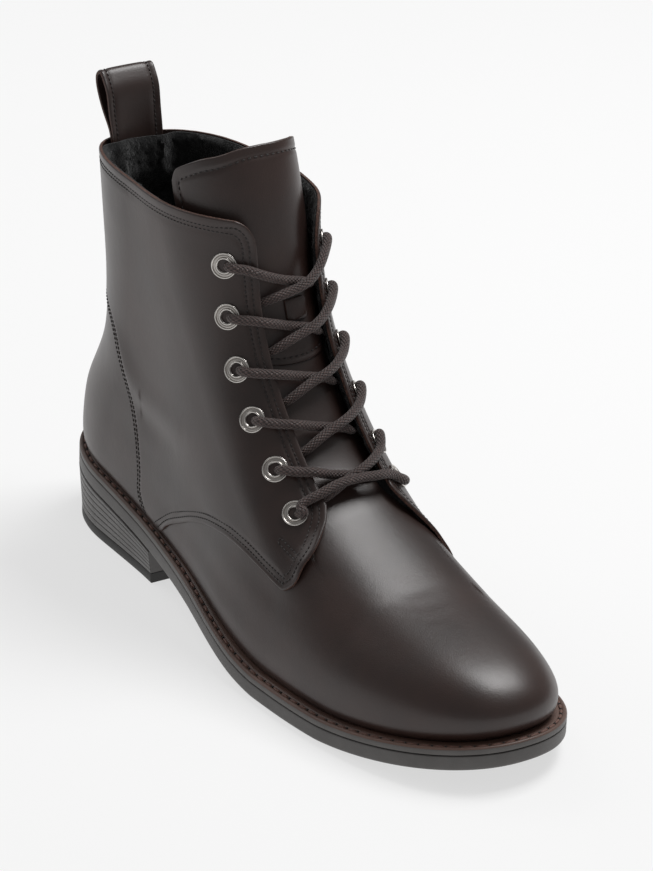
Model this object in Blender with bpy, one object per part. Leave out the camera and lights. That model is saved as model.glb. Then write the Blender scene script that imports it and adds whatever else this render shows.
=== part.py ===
"""Right lace-up ankle boot in smooth leather: hollow upper with stepped quarters and heel counter, tongue,
insole, midsole with welt ledge, outsole, stacked heel, pull loop, twelve eyelets and the visible lace.
Frame: +X toe, +Y the wearer's left (inner side), +Z up, floor at z = 0, origin under the sole's middle."""

import bmesh
import bpy
import numpy as np
from mathutils import Matrix, Vector

OBJECT_NAME = "leather_boot"
MM = 0.001

# Driving sizes in millimetres
SOLE_THICKNESS = 9.3
MIDSOLE_THICKNESS = 3.8
GAP = 0.3
WALL = 1.3
QUARTER_STEP = 1.1
COUNTER_STEP = 0.6
SEAM_LAP = 0.7
INSOLE_THICKNESS = 3.0
HEEL_BREAST_X = 69.0
HEEL_TAPER = 1.4
HEEL_LIFT = 4.0
HEEL_GROOVES = 5
HEEL_GROOVE_DEPTH = 0.6
TONGUE_THICKNESS = 1.8
LOOP_WIDTH = 23.5
LOOP_THICKNESS = 1.6
EYELET_FLANGE_RADIUS = 5.0
EYELET_HOLE_RADIUS = 2.5
EYELET_BARREL_RADIUS = 2.9
EYELET_FLANGE = 0.9
EYELET_SEAT = 0.7
LACE_RADIUS = 2.0

# Height of the welt's upper face above the floor, along the boot
BOTTOM_COLUMNS = ("x", "z")
BOTTOM = [
    (-18, 33.2), (28, 29.2), (60, 24.8), (85, 21.4), (113, 18.0), (142, 12.8),
    (168, 9.2), (185, 9.0), (203, 9.2), (225, 11.2), (245, 14.2), (275, 20.0),
]

# Plan forms of the upper from the feather line to the collar. Each is a rounded heel, a waist and a rounded
# front: rise above the welt at the heel, share of the welt's fall it follows, x of the back, of the widest
# heel, of the ball and of the front, half widths, offset of the ball joints, inward curve of front and back,
# hollows of the waist
FORM_COLUMNS = (
    "rise", "follow", "x_back", "x_heel", "heel_lat", "heel_med", "x_ball", "skew", "ball_lat", "ball_med",
    "x_front", "y_front", "y_back", "pinch_lat", "pinch_med",
)
FORM = [
    (0.3, 1.00, -9.9, 28, 25.4, 26.4, 184, 11, 40.4, 38.7, 262.6, 6.8, 2.3, 2.2, 7.0),
    (4.0, 1.00, -12.0, 28, 27.2, 28.4, 184, 11, 42.0, 40.3, 266.2, 6.8, 2.3, 2.2, 7.0),
    (9.6, 1.00, -12.6, 28, 27.8, 29.1, 183, 11, 42.2, 40.4, 267.1, 6.8, 2.3, 2.2, 7.0),
    (15.6, 1.00, -12.3, 29, 27.8, 29.2, 183, 8, 41.0, 39.0, 263.5, 6.7, 2.3, 2.0, 6.5),
    (22.6, 1.00, -11.3, 30, 27.5, 28.8, 179, 7, 38.9, 37.0, 254.5, 6.1, 2.2, 1.5, 5.5),
    (29.2, 1.00, -9.3, 31, 27.0, 28.2, 172, 6, 36.6, 34.8, 239.2, 5.3, 2.1, 1.0, 4.5),
    (36.2, 1.00, -5.8, 34, 26.6, 27.6, 161, 5, 34.6, 32.8, 217.8, 4.2, 2.0, 0.5, 3.5),
    (45.2, 1.00, -0.9, 38, 26.2, 26.9, 145.5, 4, 32.5, 31.1, 191.8, 2.9, 1.8, 0.0, 2.4),
    (56.5, 0.97, 4.2, 42, 26.2, 26.4, 126, 3, 30.4, 29.8, 166.6, 1.8, 1.4, 0.0, 1.0),
    (70.6, 0.90, 6.3, 44, 26.2, 26.2, 108, 2, 28.7, 28.6, 145.4, 0.9, 0.9, 0.0, 0.4),
    (86.0, 0.80, 6.5, 46, 26.8, 26.8, 93, 1, 28.0, 28.0, 129.3, 0.4, 0.4, 0.0, 0.0),
    (103.0, 0.70, 5.3, 47, 27.9, 27.9, 81, 0, 28.5, 28.5, 118.6, 0.0, 0.0, 0.0, 0.0),
    (121.0, 0.60, 3.5, 47, 29.1, 29.1, 73, 0, 29.6, 29.6, 112.0, 0.0, 0.0, 0.0, 0.0),
    (138.0, 0.55, 1.7, 47, 30.2, 30.2, 67, 0, 30.6, 30.6, 108.5, 0.0, 0.0, 0.0, 0.0),
]
HEEL_SHARE = 0.22
BALL_SHARE = 0.50
HEEL_ROUND = 2.2
FRONT_ROUND = 2.27

# Ledge of the welt outside the feather line
LEDGE_COLUMNS = ("x", "width")
LEDGE = [(-20, 2.8), (60, 2.8), (110, 3.7), (150, 4.8), (280, 4.8)]

# Collar edge: share of the form's height at each share of the girth from back to front
COLLAR_COLUMNS = ("girth", "lateral", "medial")
COLLAR = [
    (0.00, 0.943, 0.943), (0.10, 0.960, 0.948), (0.20, 0.977, 0.963), (0.32, 0.980, 0.974),
    (0.50, 0.989, 0.985), (0.70, 1.005, 0.990), (0.80, 1.000, 0.988), (0.85, 0.989, 0.980),
    (0.886, 0.970, 0.962), (1.00, 0.965, 0.960),
]

# Lower edge of a quarter: counter seam, feather line, vamp seam up to the tip, then its front edge
QUARTER_COLUMNS = ("girth", "v")
QUARTER = [
    (0.000, 0.600), (0.060, 0.595), (0.110, 0.580), (0.150, 0.560), (0.176, 0.535), (0.205, 0.470),
    (0.234, 0.377), (0.250, 0.300), (0.263, 0.215), (0.271, 0.105), (0.278, 0.040), (0.286, 0.010),
    (0.306, 0.010), (0.314, 0.025), (0.323, 0.050), (0.335, 0.082), (0.353, 0.122), (0.375, 0.162),
    (0.398, 0.199), (0.422, 0.229), (0.446, 0.250), (0.470, 0.258), (0.495, 0.256), (0.520, 0.250),
    (0.545, 0.243), (0.580, 0.271), (0.625, 0.308), (0.673, 0.341), (0.720, 0.367), (0.770, 0.394),
    (0.820, 0.423), (0.862, 0.449), (0.886, 0.470),
]
THROAT_GIRTH = 0.872
THROAT_V = 0.50
FACING_GIRTH = 0.886
TIP_GIRTH = 0.545

# The throat lies towards the inner side: beyond the tip, girths are shortened there
INNER_SHORTENING = 0.85

# Heel counter: half girth at each height
COUNTER_COLUMNS = ("v", "girth")
COUNTER = [
    (0.006, 0.292), (0.040, 0.288), (0.105, 0.281), (0.215, 0.273), (0.300, 0.260), (0.377, 0.244),
    (0.470, 0.216), (0.545, 0.186), (0.605, 0.150),
]

# Upper edge of the tongue at each share of its half width, from the middle
TONGUE_COLUMNS = ("across", "v")
TONGUE = [
    (0.0, 1.152), (0.2, 1.148), (0.36, 1.140), (0.53, 1.127), (0.69, 1.110), (0.80, 1.093), (0.914, 1.072),
    (0.97, 1.055), (1.0, 1.035),
]
TONGUE_HALF_COLUMNS = ("v", "girth")
TONGUE_HALF = [(0.43, 0.30), (0.60, 0.36), (0.80, 0.40), (1.00, 0.452), (1.20, 0.455)]
TONGUE_INSET_COLUMNS = ("v", "depth")
TONGUE_INSET = [(0.43, 2.2), (0.48, 2.2), (0.60, 3.1), (0.85, 3.4), (0.95, 4.2), (1.05, 5.8), (1.16, 8.0)]

EYELET_COLUMNS = ("v", "girth")
EYELETS = [(0.902, 0.772), (0.797, 0.747), (0.694, 0.729), (0.604, 0.727), (0.523, 0.749), (0.451, 0.754)]

# Middle line of the pull loop, which leans a little to the inner side, and how far it hugs the round back
LOOP_COLUMNS = ("x", "z", "hug", "y")
LOOP = [
    (7.6, 146.0, 1.00, -2.6), (7.0, 153.0, 1.00, -2.6), (6.2, 160.0, 1.00, -2.6), (4.6, 164.5, 0.90, -2.5),
    (0.2, 170.5, 0.60, -2.2), (-3.5, 176.0, 0.40, -1.9), (-5.8, 181.8, 0.25, -1.5), (-5.6, 184.6, 0.20, -1.4),
    (-3.4, 186.6, 0.20, -1.3), (-0.8, 184.6, 0.20, -1.4), (2.4, 179.5, 0.30, -1.7), (4.8, 172.0, 0.50, -2.1),
    (7.1, 165.0, 0.90, -2.5), (8.4, 160.0, 1.00, -2.6), (9.2, 153.0, 1.00, -2.6), (9.8, 146.0, 1.00, -2.6),
]
BACK_RADIUS = 24.0


class Curve:
    """Natural cubic through rows of values."""

    def __init__(self, at, values):
        self.at = np.asarray(at, float)
        self.values = np.asarray(values, float)
        count = len(self.at)
        step = np.diff(self.at)
        matrix = np.eye(count)
        right = np.zeros(self.values.shape)
        for i in range(1, count - 1):
            matrix[i, i - 1 : i + 2] = step[i - 1], 2 * (step[i - 1] + step[i]), step[i]
            after = (self.values[i + 1] - self.values[i]) / step[i]
            before = (self.values[i] - self.values[i - 1]) / step[i - 1]
            right[i] = 6 * (after - before)
        self.bend = np.linalg.solve(matrix, right)

    def __call__(self, t):
        t = np.asarray(t, float)
        i = np.clip(np.searchsorted(self.at, t) - 1, 0, len(self.at) - 2)
        span = self.at[i + 1] - self.at[i]
        low = (self.at[i + 1] - t) / span
        high = (t - self.at[i]) / span
        if self.values.ndim > 1:
            low, high, span = low[..., None], high[..., None], span[..., None]
        cubic = (low**3 - low) * self.bend[i] + (high**3 - high) * self.bend[i + 1]
        return low * self.values[i] + high * self.values[i + 1] + cubic * span**2 / 6


def columns(rows):
    return [np.array(c, float) for c in zip(*rows)]


welt_curve = Curve(*columns(BOTTOM))


def welt_height(x):
    """Height of the welt's upper face, level where the forefoot stands on the floor."""
    return np.maximum(welt_curve(x), SOLE_THICKNESS)


HEEL_SEAT = float(welt_height(-6.0))


def form_curve():
    """The form's columns against v, which runs from 0 at the feather line to 1 near the collar."""
    table = np.array(FORM, float)
    rise, follow = table[:, 0], table[:, 1]
    front = table[:, FORM_COLUMNS.index("x_front")]
    front_z = rise + follow * (welt_height(front) - HEEL_SEAT)
    run = np.concatenate([[0], np.cumsum(np.hypot(np.diff(front), np.diff(front_z)))])
    v = 0.5 * run / run[-1] + 0.5 * (rise - rise[0]) / (rise[-1] - rise[0])
    return Curve(v, table)


form = form_curve()


def surface(v, r):
    """Point on the outside of the form. r is the share of the girth from the back centre, positive on the
    inner side, and wraps at the front centre."""
    v, r = np.broadcast_arrays(np.asarray(v, float), np.asarray(r, float))
    r = (r + 1) % 2 - 1
    side = np.where(r < 0, -1.0, 1.0)
    q = np.abs(r)
    g = dict(zip(FORM_COLUMNS, np.moveaxis(form(v), -1, 0)))
    medial = side > 0
    x_heel = g["x_heel"]
    x_ball = g["x_ball"] + side * g["skew"]
    heel = np.where(medial, g["heel_med"], g["heel_lat"])
    ball = np.where(medial, g["ball_med"], g["ball_lat"])
    pinch = np.where(medial, g["pinch_med"], g["pinch_lat"])
    a = np.clip(q / HEEL_SHARE, 0, 1) * np.pi / 2
    x1 = x_heel - (x_heel - g["x_back"]) * np.cos(a) ** (2 / HEEL_ROUND)
    w1 = heel * np.sin(a) ** (2 / HEEL_ROUND)
    t = np.clip((q - HEEL_SHARE) / (BALL_SHARE - HEEL_SHARE), 0, 1)
    x2 = x_heel + (x_ball - x_heel) * t
    w2 = heel + (ball - heel) * t**3 * (10 - 15 * t + 6 * t * t) - pinch * (4 * t * (1 - t)) ** 3
    b = np.clip((q - BALL_SHARE) / (1 - BALL_SHARE), 0, 1) * np.pi / 2
    x3 = x_ball + (g["x_front"] - x_ball) * np.sin(b) ** (2 / FRONT_ROUND)
    w3 = ball * np.clip(np.cos(b), 0, 1) ** (2 / FRONT_ROUND)
    x = np.where(q < HEEL_SHARE, x1, np.where(q < BALL_SHARE, x2, x3))
    w = np.where(q < HEEL_SHARE, w1, np.where(q < BALL_SHARE, w2, w3))
    bend = g["y_front"] * np.clip((x - x_heel) / (g["x_front"] - x_heel), 0, 1) ** 2
    bend = bend + g["y_back"] * np.clip((95 - x) / 100, 0, 2) ** 2
    z = g["rise"] + HEEL_SEAT + g["follow"] * (welt_height(x) - HEEL_SEAT)
    return np.stack([x, side * w + bend, z], -1)


def outward(v, r):
    """Unit normal of the form, turned level next to the feather line so that the wall's foot stays flat."""
    v, r = np.broadcast_arrays(np.asarray(v, float), np.asarray(r, float))
    up = surface(v + 0.004, r) - surface(v - 0.004, r)
    along = surface(v, r + 0.006) - surface(v, r - 0.006)
    n = np.cross(up, along)
    n[..., 2] *= np.clip(v / 0.06, 0, 1)
    return n / np.linalg.norm(n, axis=-1, keepdims=True)


def wall(v, r, offset):
    return surface(v, r) + np.asarray(offset, float)[..., None] * outward(v, r)


def placed(girth):
    """Share r on the form of a girth in the tables, negative on the outer side."""
    girth = np.asarray(girth, float)
    inner = TIP_GIRTH + (girth - TIP_GIRTH) * INNER_SHORTENING
    return np.where(girth > TIP_GIRTH, inner, girth)


def collar(girth):
    at, lateral, medial = columns(COLLAR)
    q = np.abs(girth)
    return np.where(girth < 0, np.interp(q, at, lateral), np.interp(q, at, medial))


def sole_edge(v, margin, count=400):
    """Plan outline of the form at v, moved outward by a margin that may vary along x."""
    p = surface(v, np.linspace(-1, 1, count, endpoint=False))[:, :2]
    d = np.roll(p, -1, 0) - np.roll(p, 1, 0)
    n = np.stack([d[:, 1], -d[:, 0]], -1)
    n /= np.linalg.norm(n, axis=1)[:, None]
    if (n * (p - p.mean(0))).sum() < 0:
        n = -n
    return p + np.reshape(margin(p[:, 0]), (-1, 1)) * n


def ledge(inset):
    at, width = columns(LEDGE)
    return sole_edge(0.02, lambda x: np.interp(x, at, width) - inset)


def chains(edge):
    """The outline's outer and inner sides from back to toe, as x and y."""
    start, end = edge[:, 0].argmin(), edge[:, 0].argmax()
    forward = np.roll(edge, -start, 0)
    cut = (end - start) % len(edge)
    one = forward[: cut + 1]
    other = np.concatenate([forward[cut:], forward[:1]])[::-1]
    return (one, other) if one[:, 1].mean() < other[:, 1].mean() else (other, one)


SOLE = ledge(0.0)
MIDDLE = np.array([*(SOLE.min(0) + SOLE.max(0)) / 2, 0.0])

bpy.context.preferences.edit.use_global_undo = False
for old in list(bpy.data.objects):
    bpy.data.objects.remove(old, do_unlink=True)
parts = bpy.data.collections.new(OBJECT_NAME)
cutters = bpy.data.collections.new("cutters")
bpy.context.scene.collection.children.link(parts)
bpy.context.scene.collection.children.link(cutters)
cutters.hide_render = True


def material(name, colour, roughness, metallic=0.0):
    m = bpy.data.materials.new(name)
    m.use_nodes = True
    shader = m.node_tree.nodes["Principled BSDF"]
    shader.inputs["Base Color"].default_value = (*colour, 1.0)
    shader.inputs["Roughness"].default_value = roughness
    shader.inputs["Metallic"].default_value = metallic
    return m


LEATHER = material("dark_brown_leather", (0.040, 0.028, 0.025), 0.35)
INSOLE_CLOTH = material("black_insole_cloth", (0.012, 0.011, 0.011), 0.9)
WELT = material("brown_welt", (0.045, 0.027, 0.020), 0.6)
RUBBER = material("dark_sole_rubber", (0.050, 0.045, 0.042), 0.55)
LIFT = material("black_lift_rubber", (0.020, 0.019, 0.018), 0.6)
STEEL = material("silver_eyelet_metal", (0.62, 0.61, 0.59), 0.25, 1.0)
CORD = material("dark_brown_waxed_cord", (0.030, 0.019, 0.016), 0.6)


def solid(name, points, faces, surfacing, smooth=True, collection=parts):
    """Closed mesh object from points in millimetres, placed in the boot's frame."""
    mesh = bpy.data.meshes.new(name)
    mesh.from_pydata(((np.asarray(points, float) - MIDDLE) * MM).tolist(), [], faces)
    bm = bmesh.new()
    bm.from_mesh(mesh)
    bmesh.ops.remove_doubles(bm, verts=bm.verts, dist=1e-7)
    bmesh.ops.delete(bm, geom=[v for v in bm.verts if not v.link_faces], context="VERTS")
    bmesh.ops.recalc_face_normals(bm, faces=bm.faces)
    if bm.calc_volume(signed=True) < 0:
        bmesh.ops.reverse_faces(bm, faces=bm.faces)
    bm.to_mesh(mesh)
    bm.free()
    mesh.materials.append(surfacing)
    mesh.polygons.foreach_set("use_smooth", [smooth] * len(mesh.polygons))
    made = bpy.data.objects.new(name, mesh)
    collection.objects.link(made)
    return made


def cutter(made):
    parts.objects.unlink(made)
    cutters.objects.link(made)
    made.hide_render = True
    made.display_type = "WIRE"
    return made


def combine(target, other, operation):
    m = target.modifiers.new(operation.lower(), "BOOLEAN")
    m.operation = operation
    m.solver = "EXACT"
    m.use_self = operation == "UNION"
    m.object = cutter(other)


def plate(name, outer, inner, surfacing, keep=None, ring=False):
    """Thick sheet between two grids of points. Cells left out of keep are open, a ring closes on itself."""
    rows, cols = outer.shape[:2]
    cells = cols if ring else cols - 1
    keep = np.ones((rows - 1, cells), bool) if keep is None else keep
    points = np.concatenate([outer.reshape(-1, 3), inner.reshape(-1, 3)])
    back = rows * cols
    faces, edges = [], {}
    for j, i in np.argwhere(keep):
        k = (i + 1) % cols
        loop = [int(n) for n in (j * cols + i, j * cols + k, (j + 1) * cols + k, (j + 1) * cols + i)]
        faces += [loop, [n + back for n in loop[::-1]]]
        for a, b in zip(loop, loop[1:] + loop[:1]):
            edges[a, b] = True
    faces += [[b, a, a + back, b + back] for a, b in edges if (b, a) not in edges]
    return solid(name, points, faces, surfacing)


def slab(name, rings, surfacing, pointed=True):
    """Loft through levels. Each level holds matching outer-side and inner-side chains from back to front. The
    first points meet at the back; the last meet at the toe when it is pointed, else they face each other."""
    count = len(rings[0][0])
    points = np.concatenate([np.concatenate(pair) for pair in rings])

    def at(level, side, i):
        return level * 2 * count + side * count + i

    last = count - 2 if pointed else count - 1
    loop = [(0, i) for i in range(count)] + [(1, i) for i in range(last, 0, -1)]
    faces = []
    for level in range(len(rings) - 1):
        for (s, i), (t, j) in zip(loop, loop[1:] + loop[:1]):
            faces.append([at(level, s, i), at(level, t, j), at(level + 1, t, j), at(level + 1, s, i)])
    for level in (0, len(rings) - 1):
        for i in range(count - 1):
            faces.append([at(level, 0, i), at(level, 0, i + 1), at(level, 1, i + 1), at(level, 1, i)])
    return solid(name, points, faces, surfacing, smooth=False)


def level_chains(edge, height, stations, x_end=None):
    """Both sides of an outline at cosine-spaced stations along x, lifted to height(x)."""
    pair = chains(edge)
    ends = pair[0][0, 0], pair[0][-1, 0] if x_end is None else x_end
    share = np.linspace(0, 1, stations)
    share = 0.5 - 0.5 * np.cos(np.pi * share) if x_end is None else 1 - np.cos(np.pi / 2 * share)
    x = ends[0] + (ends[1] - ends[0]) * share
    made = [np.stack([x, np.interp(x, c[:, 0], c[:, 1]), height(x)], -1) for c in pair]
    tips = (0, -1) if x_end is None else (0,)
    for tip in tips:
        made[0][tip] = made[1][tip] = (made[0][tip] + made[1][tip]) / 2
    return made


def girths(values):
    q = np.array(values, float)
    return np.concatenate([-q[:0:-1], q])


# Upper: base wall, then the counter and the quarters as thicker fields of it, then the eyelet holes
heel_q = np.linspace(0, HEEL_SHARE, 8)[:-1]
waist_q = np.linspace(HEEL_SHARE, BALL_SHARE, 7)[:-1]
front_q = [0.50, 0.55, 0.60, 0.65, 0.70, 0.75, 0.79, 0.83, THROAT_GIRTH]
side_girth = girths([*heel_q, *waist_q, *front_q])
outer_toe = -np.linspace(1.0, THROAT_GIRTH, 4)[1:-1]
inner_toe = np.linspace(float(placed(THROAT_GIRTH)), 1.0, 5)[1:]
ring_r = np.concatenate([outer_toe, placed(side_girth), inner_toe])
sides = slice(len(outer_toe), len(outer_toe) + len(side_girth))
vamp_v = np.array([0, 0.027, 0.06, 0.095, 0.142, 0.2, 0.26, 0.32, 0.38, 0.44, THROAT_V])
shaft_t = np.linspace(0, 1, 6)[1:]
in_throat = np.ones(len(ring_r), bool)
in_throat[sides] = np.abs(side_girth) > THROAT_GIRTH - 1e-6
top = np.ones(len(ring_r))
top[sides] = collar(side_girth) - 0.004
vamp_rows = np.repeat(vamp_v[:, None], len(ring_r), 1)
base_v = np.concatenate([vamp_rows, THROAT_V + shaft_t[:, None] * (top - THROAT_V)])
base_r = np.broadcast_to(ring_r, base_v.shape)
cell_front = in_throat & np.roll(in_throat, -1)
base_keep = ~((np.arange(len(base_v) - 1) >= len(vamp_v) - 1)[:, None] & cell_front[None, :])
upper = plate(
    "upper", wall(base_v, base_r, 0.0), wall(base_v, base_r, -WALL), LEATHER, keep=base_keep, ring=True
)

counter_v, counter_half = columns(COUNTER)
share = np.linspace(-1, 1, 13)
v_grid = np.repeat(counter_v[:, None], len(share), 1)
r_grid = counter_half[:, None] * share
counter = plate("counter", wall(v_grid, r_grid, COUNTER_STEP), wall(v_grid, r_grid, -SEAM_LAP), LEATHER)
combine(upper, counter, "UNION")

quarter_q, quarter_low = columns(QUARTER)
quarter_girth = girths(quarter_q)
low = np.concatenate([quarter_low[:0:-1], quarter_low])
t = np.linspace(0, 1, 10)[:, None]
v_grid = low + t * (collar(quarter_girth) - low)
r_grid = np.broadcast_to(placed(quarter_girth), v_grid.shape)
quarters = plate("quarters", wall(v_grid, r_grid, QUARTER_STEP), wall(v_grid, r_grid, -SEAM_LAP), LEATHER)
combine(upper, quarters, "UNION")


def frame_at(v, r, offset):
    """Placement with local Z along the wall's normal, in metres."""
    n = Vector(outward(v, r))
    turn = n.to_track_quat("Z", "Y").to_matrix().to_4x4()
    return Matrix.Translation(Vector((wall(v, r, offset) - MIDDLE) * MM)) @ turn


def lathe(name, profile, steps, surfacing, placement):
    """Ring turned from a closed profile of radius and height."""
    turn = np.linspace(0, 2 * np.pi, steps, endpoint=False)
    count = len(profile)
    radius, height = columns(profile)
    x, y = np.outer(np.cos(turn), radius), np.outer(np.sin(turn), radius)
    points = np.stack([x, y, np.broadcast_to(height, x.shape)], -1).reshape(-1, 3)
    faces = []
    for i in range(steps):
        for j in range(count):
            a, b = i * count, (i + 1) % steps * count
            k = (j + 1) % count
            faces.append([a + j, b + j, b + k, a + k])
    made = solid(name, points + MIDDLE, faces, surfacing)
    made.data.transform(placement)
    return made


EYELET_PROFILE = [
    (EYELET_HOLE_RADIUS, EYELET_SEAT + EYELET_FLANGE),
    (EYELET_HOLE_RADIUS, -QUARTER_STEP - WALL - 0.6),
    (EYELET_BARREL_RADIUS, -QUARTER_STEP - WALL - 0.6),
    (EYELET_BARREL_RADIUS, EYELET_SEAT),
    (EYELET_FLANGE_RADIUS, EYELET_SEAT),
    (EYELET_FLANGE_RADIUS - 0.5, EYELET_SEAT + EYELET_FLANGE),
]
for side, side_name in ((-1, "lateral"), (1, "medial")):
    for number, (v, q) in enumerate(EYELETS, 1):
        placement = frame_at(v, float(placed(side * q)), QUARTER_STEP)
        lathe(f"eyelet_{side_name}_{number}", EYELET_PROFILE, 10, STEEL, placement)
        radius = (EYELET_BARREL_RADIUS + GAP) * MM
        bpy.ops.mesh.primitive_cylinder_add(vertices=12, radius=radius, depth=12 * MM)
        hole = bpy.context.object
        hole.name = f"hole_{side_name}_{number}"
        hole.data.transform(placement)
        for held in list(hole.users_collection):
            held.objects.unlink(hole)
        parts.objects.link(hole)
        combine(upper, hole, "DIFFERENCE")

# Tongue: a curved leaf inside the throat, its root tucked under the vamp
across = np.linspace(-1, 1, 13)
tongue_across, tongue_top = columns(TONGUE)
tops = np.interp(np.abs(across), tongue_across, tongue_top)
t = np.linspace(0, 1, 11)[:, None]
v_grid = TONGUE_HALF[0][0] + t * (tops - TONGUE_HALF[0][0])
r_grid = 1.0 + across * np.interp(v_grid, *columns(TONGUE_HALF))
inset = np.interp(v_grid, *columns(TONGUE_INSET))
plate("tongue", wall(v_grid, r_grid, -inset), wall(v_grid, r_grid, -inset - TONGUE_THICKNESS), LEATHER)

# Keeper: small tab on the tongue, a little to the inner side
v_grid, r_grid = np.meshgrid(np.linspace(0.792, 0.828, 3), np.linspace(0.89, 1.0, 5), indexing="ij")
inset = np.interp(v_grid, *columns(TONGUE_INSET)) - GAP
plate("tongue_keeper", wall(v_grid, r_grid, 1.0 - inset), wall(v_grid, r_grid, -inset), LEATHER)

# Insole, midsole, outsole
insole_edge = sole_edge(0.0, lambda x: -WALL - 0.5)
slab(
    "insole",
    [
        level_chains(insole_edge, lambda x: welt_height(x) + GAP, 30),
        level_chains(insole_edge, lambda x: welt_height(x) + GAP + INSOLE_THICKNESS, 30),
    ],
    INSOLE_CLOTH,
)
MIDSOLE_LEVELS = [(0.7, 0.0), (0.0, -0.9), (0.0, -MIDSOLE_THICKNESS)]
slab(
    "midsole",
    [level_chains(ledge(i), lambda x, d=d: welt_height(x) + d, 44) for i, d in MIDSOLE_LEVELS],
    WELT,
)
OUTSOLE_LEVELS = [
    (0.3, -MIDSOLE_THICKNESS - GAP), (0.0, -MIDSOLE_THICKNESS - GAP - 0.6),
    (0.0, -SOLE_THICKNESS + 0.9), (0.9, -SOLE_THICKNESS),
]
slab(
    "outsole",
    [level_chains(ledge(i), lambda x, d=d: welt_height(x) + d, 44) for i, d in OUTSOLE_LEVELS],
    RUBBER,
)


# Heel: stacked block with grooves, and the lift under it
def heel_level(share, inset, stations=13):
    low = HEEL_LIFT + GAP

    def height(x):
        return low + share * (welt_height(x) - SOLE_THICKNESS - GAP - low)

    return level_chains(ledge(inset + HEEL_TAPER * (1 - share)), height, stations, HEEL_BREAST_X)


heel_rings = [heel_level(0.0, 0.0)]
for number in range(1, HEEL_GROOVES + 1):
    middle = number / (HEEL_GROOVES + 0.7)
    heel_rings += [heel_level(middle + d, HEEL_GROOVE_DEPTH * (d == 0)) for d in (-0.025, 0.0, 0.025)]
heel_rings.append(heel_level(1.0, 0.0))
slab("heel", heel_rings, RUBBER, pointed=False)
LIFT_LEVELS = [(0.6, 0.0), (0.0, 0.7), (0.0, HEEL_LIFT)]
lift_rings = []
for i, z in LIFT_LEVELS:
    lift_rings.append(level_chains(ledge(HEEL_TAPER + i), lambda x, z=z: 0 * x + z, 15, HEEL_BREAST_X))
slab("heel_lift", lift_rings, LIFT, pointed=False)

# Pull loop: folded strap standing at the back of the collar
loop_rows = np.array(LOOP, float)
run = np.concatenate([[0], np.cumsum(np.hypot(np.diff(loop_rows[:, 0]), np.diff(loop_rows[:, 1])))])
loop_curve = Curve(run, loop_rows)
bend_run = np.linspace(run[6], run[9], 7)
s = np.concatenate([np.linspace(0, run[6], 9)[:-1], bend_run, np.linspace(run[9], run[-1], 9)[1:]])
path = loop_curve(s)
slope = loop_curve(s + 0.05)[:, :2] - loop_curve(s - 0.05)[:, :2]
slope /= np.linalg.norm(slope, axis=1)[:, None]
beside = np.stack([-slope[:, 1], slope[:, 0]], -1)
width = np.linspace(-LOOP_WIDTH / 2, LOOP_WIDTH / 2, 5)


def loop_face(offset):
    y = width + path[:, 3:]
    x = path[:, :1] + offset * beside[:, :1] + path[:, 2:3] * y**2 / (2 * BACK_RADIUS)
    z = path[:, 1:2] + offset * beside[:, 1:2]
    return np.stack([x, y, np.broadcast_to(z, x.shape)], -1)


plate("pull_loop", loop_face(LOOP_THICKNESS / 2), loop_face(-LOOP_THICKNESS / 2), LEATHER)


# Lace: round cord lying over the facings. Each strand is a list of v, girth from the front centre and offset,
# negative girth on the outer side
def strand(name, rows):
    v, from_front, offset = columns(rows)
    curve = bpy.data.curves.new(name, "CURVE")
    curve.dimensions = "3D"
    curve.bevel_depth = LACE_RADIUS * MM
    curve.bevel_resolution = 1
    curve.use_fill_caps = True
    at = np.linspace(0, 1, len(rows))
    smooth = Curve(at, (wall(v, 1.0 - from_front, offset) - MIDDLE) * MM)(np.linspace(0, 1, 8))
    line = curve.splines.new("POLY")
    line.points.add(len(smooth) - 1)
    for point, co in zip(line.points, smooth):
        point.co = (*co, 1.0)
    guide = bpy.data.objects.new(name, curve)
    parts.objects.link(guide)
    bpy.context.view_layer.update()
    mesh = bpy.data.meshes.new_from_object(guide.evaluated_get(bpy.context.evaluated_depsgraph_get()))
    bpy.data.objects.remove(guide, do_unlink=True)
    bm = bmesh.new()
    bm.from_mesh(mesh)
    bmesh.ops.remove_doubles(bm, verts=bm.verts, dist=1e-6)
    bmesh.ops.recalc_face_normals(bm, faces=bm.faces)
    bm.to_mesh(mesh)
    bm.free()
    mesh.materials.clear()
    mesh.materials.append(CORD)
    mesh.polygons.foreach_set("use_smooth", [True] * len(mesh.polygons))
    made = bpy.data.objects.new(name, mesh)
    parts.objects.link(made)
    return made


OVER = QUARTER_STEP + LACE_RADIUS + 0.6
EDGE = 1.0 - FACING_GIRTH
INNER_EDGE = 1.0 - float(placed(FACING_GIRTH))
RIM = 0.062
# Offsets of the two strands of a crossing between the facings; the lowest crossing lies on the vamp
OPEN_LIE = (1.0, 0.6, 0.3, 3.2, 1.4, 0.3)
VAMP_LIE = (2.8, 2.7, 2.7, 5.0, 3.6, 2.7)
for number in range(5):
    (v1, q1), (v2, q2) = EYELETS[number], EYELETS[number + 1]
    start, inner_start = 1.0 - q1 - RIM, 1.0 - float(placed(q1)) - RIM
    drop = 0.45 * (v1 - v2)
    lie = VAMP_LIE if number == 4 else OPEN_LIE
    under = strand(
        f"lace_crossing_{number + 1}",
        [
            (v1, -start, OVER), (v1, -EDGE, OVER), (v1, -0.05, lie[0]), (v1 - 0.1 * drop, 0.03, lie[1]),
            (v1 - 0.3 * drop, 0.10, lie[2]),
        ],
    )
    over = strand(
        f"lace_over_{number + 1}",
        [
            (v1, inner_start, OVER), (v1, INNER_EDGE, OVER + 0.2), (v1 - 0.2 * drop, 0.06, lie[3]),
            (v1 - 0.6 * drop, -0.01, lie[4]), (v1 - drop, -0.068, lie[5]),
        ],
    )
    combine(under, over, "UNION")
v, q = EYELETS[5]
start, inner_start = 1.0 - q - RIM, 1.0 - float(placed(q)) - RIM
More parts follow.
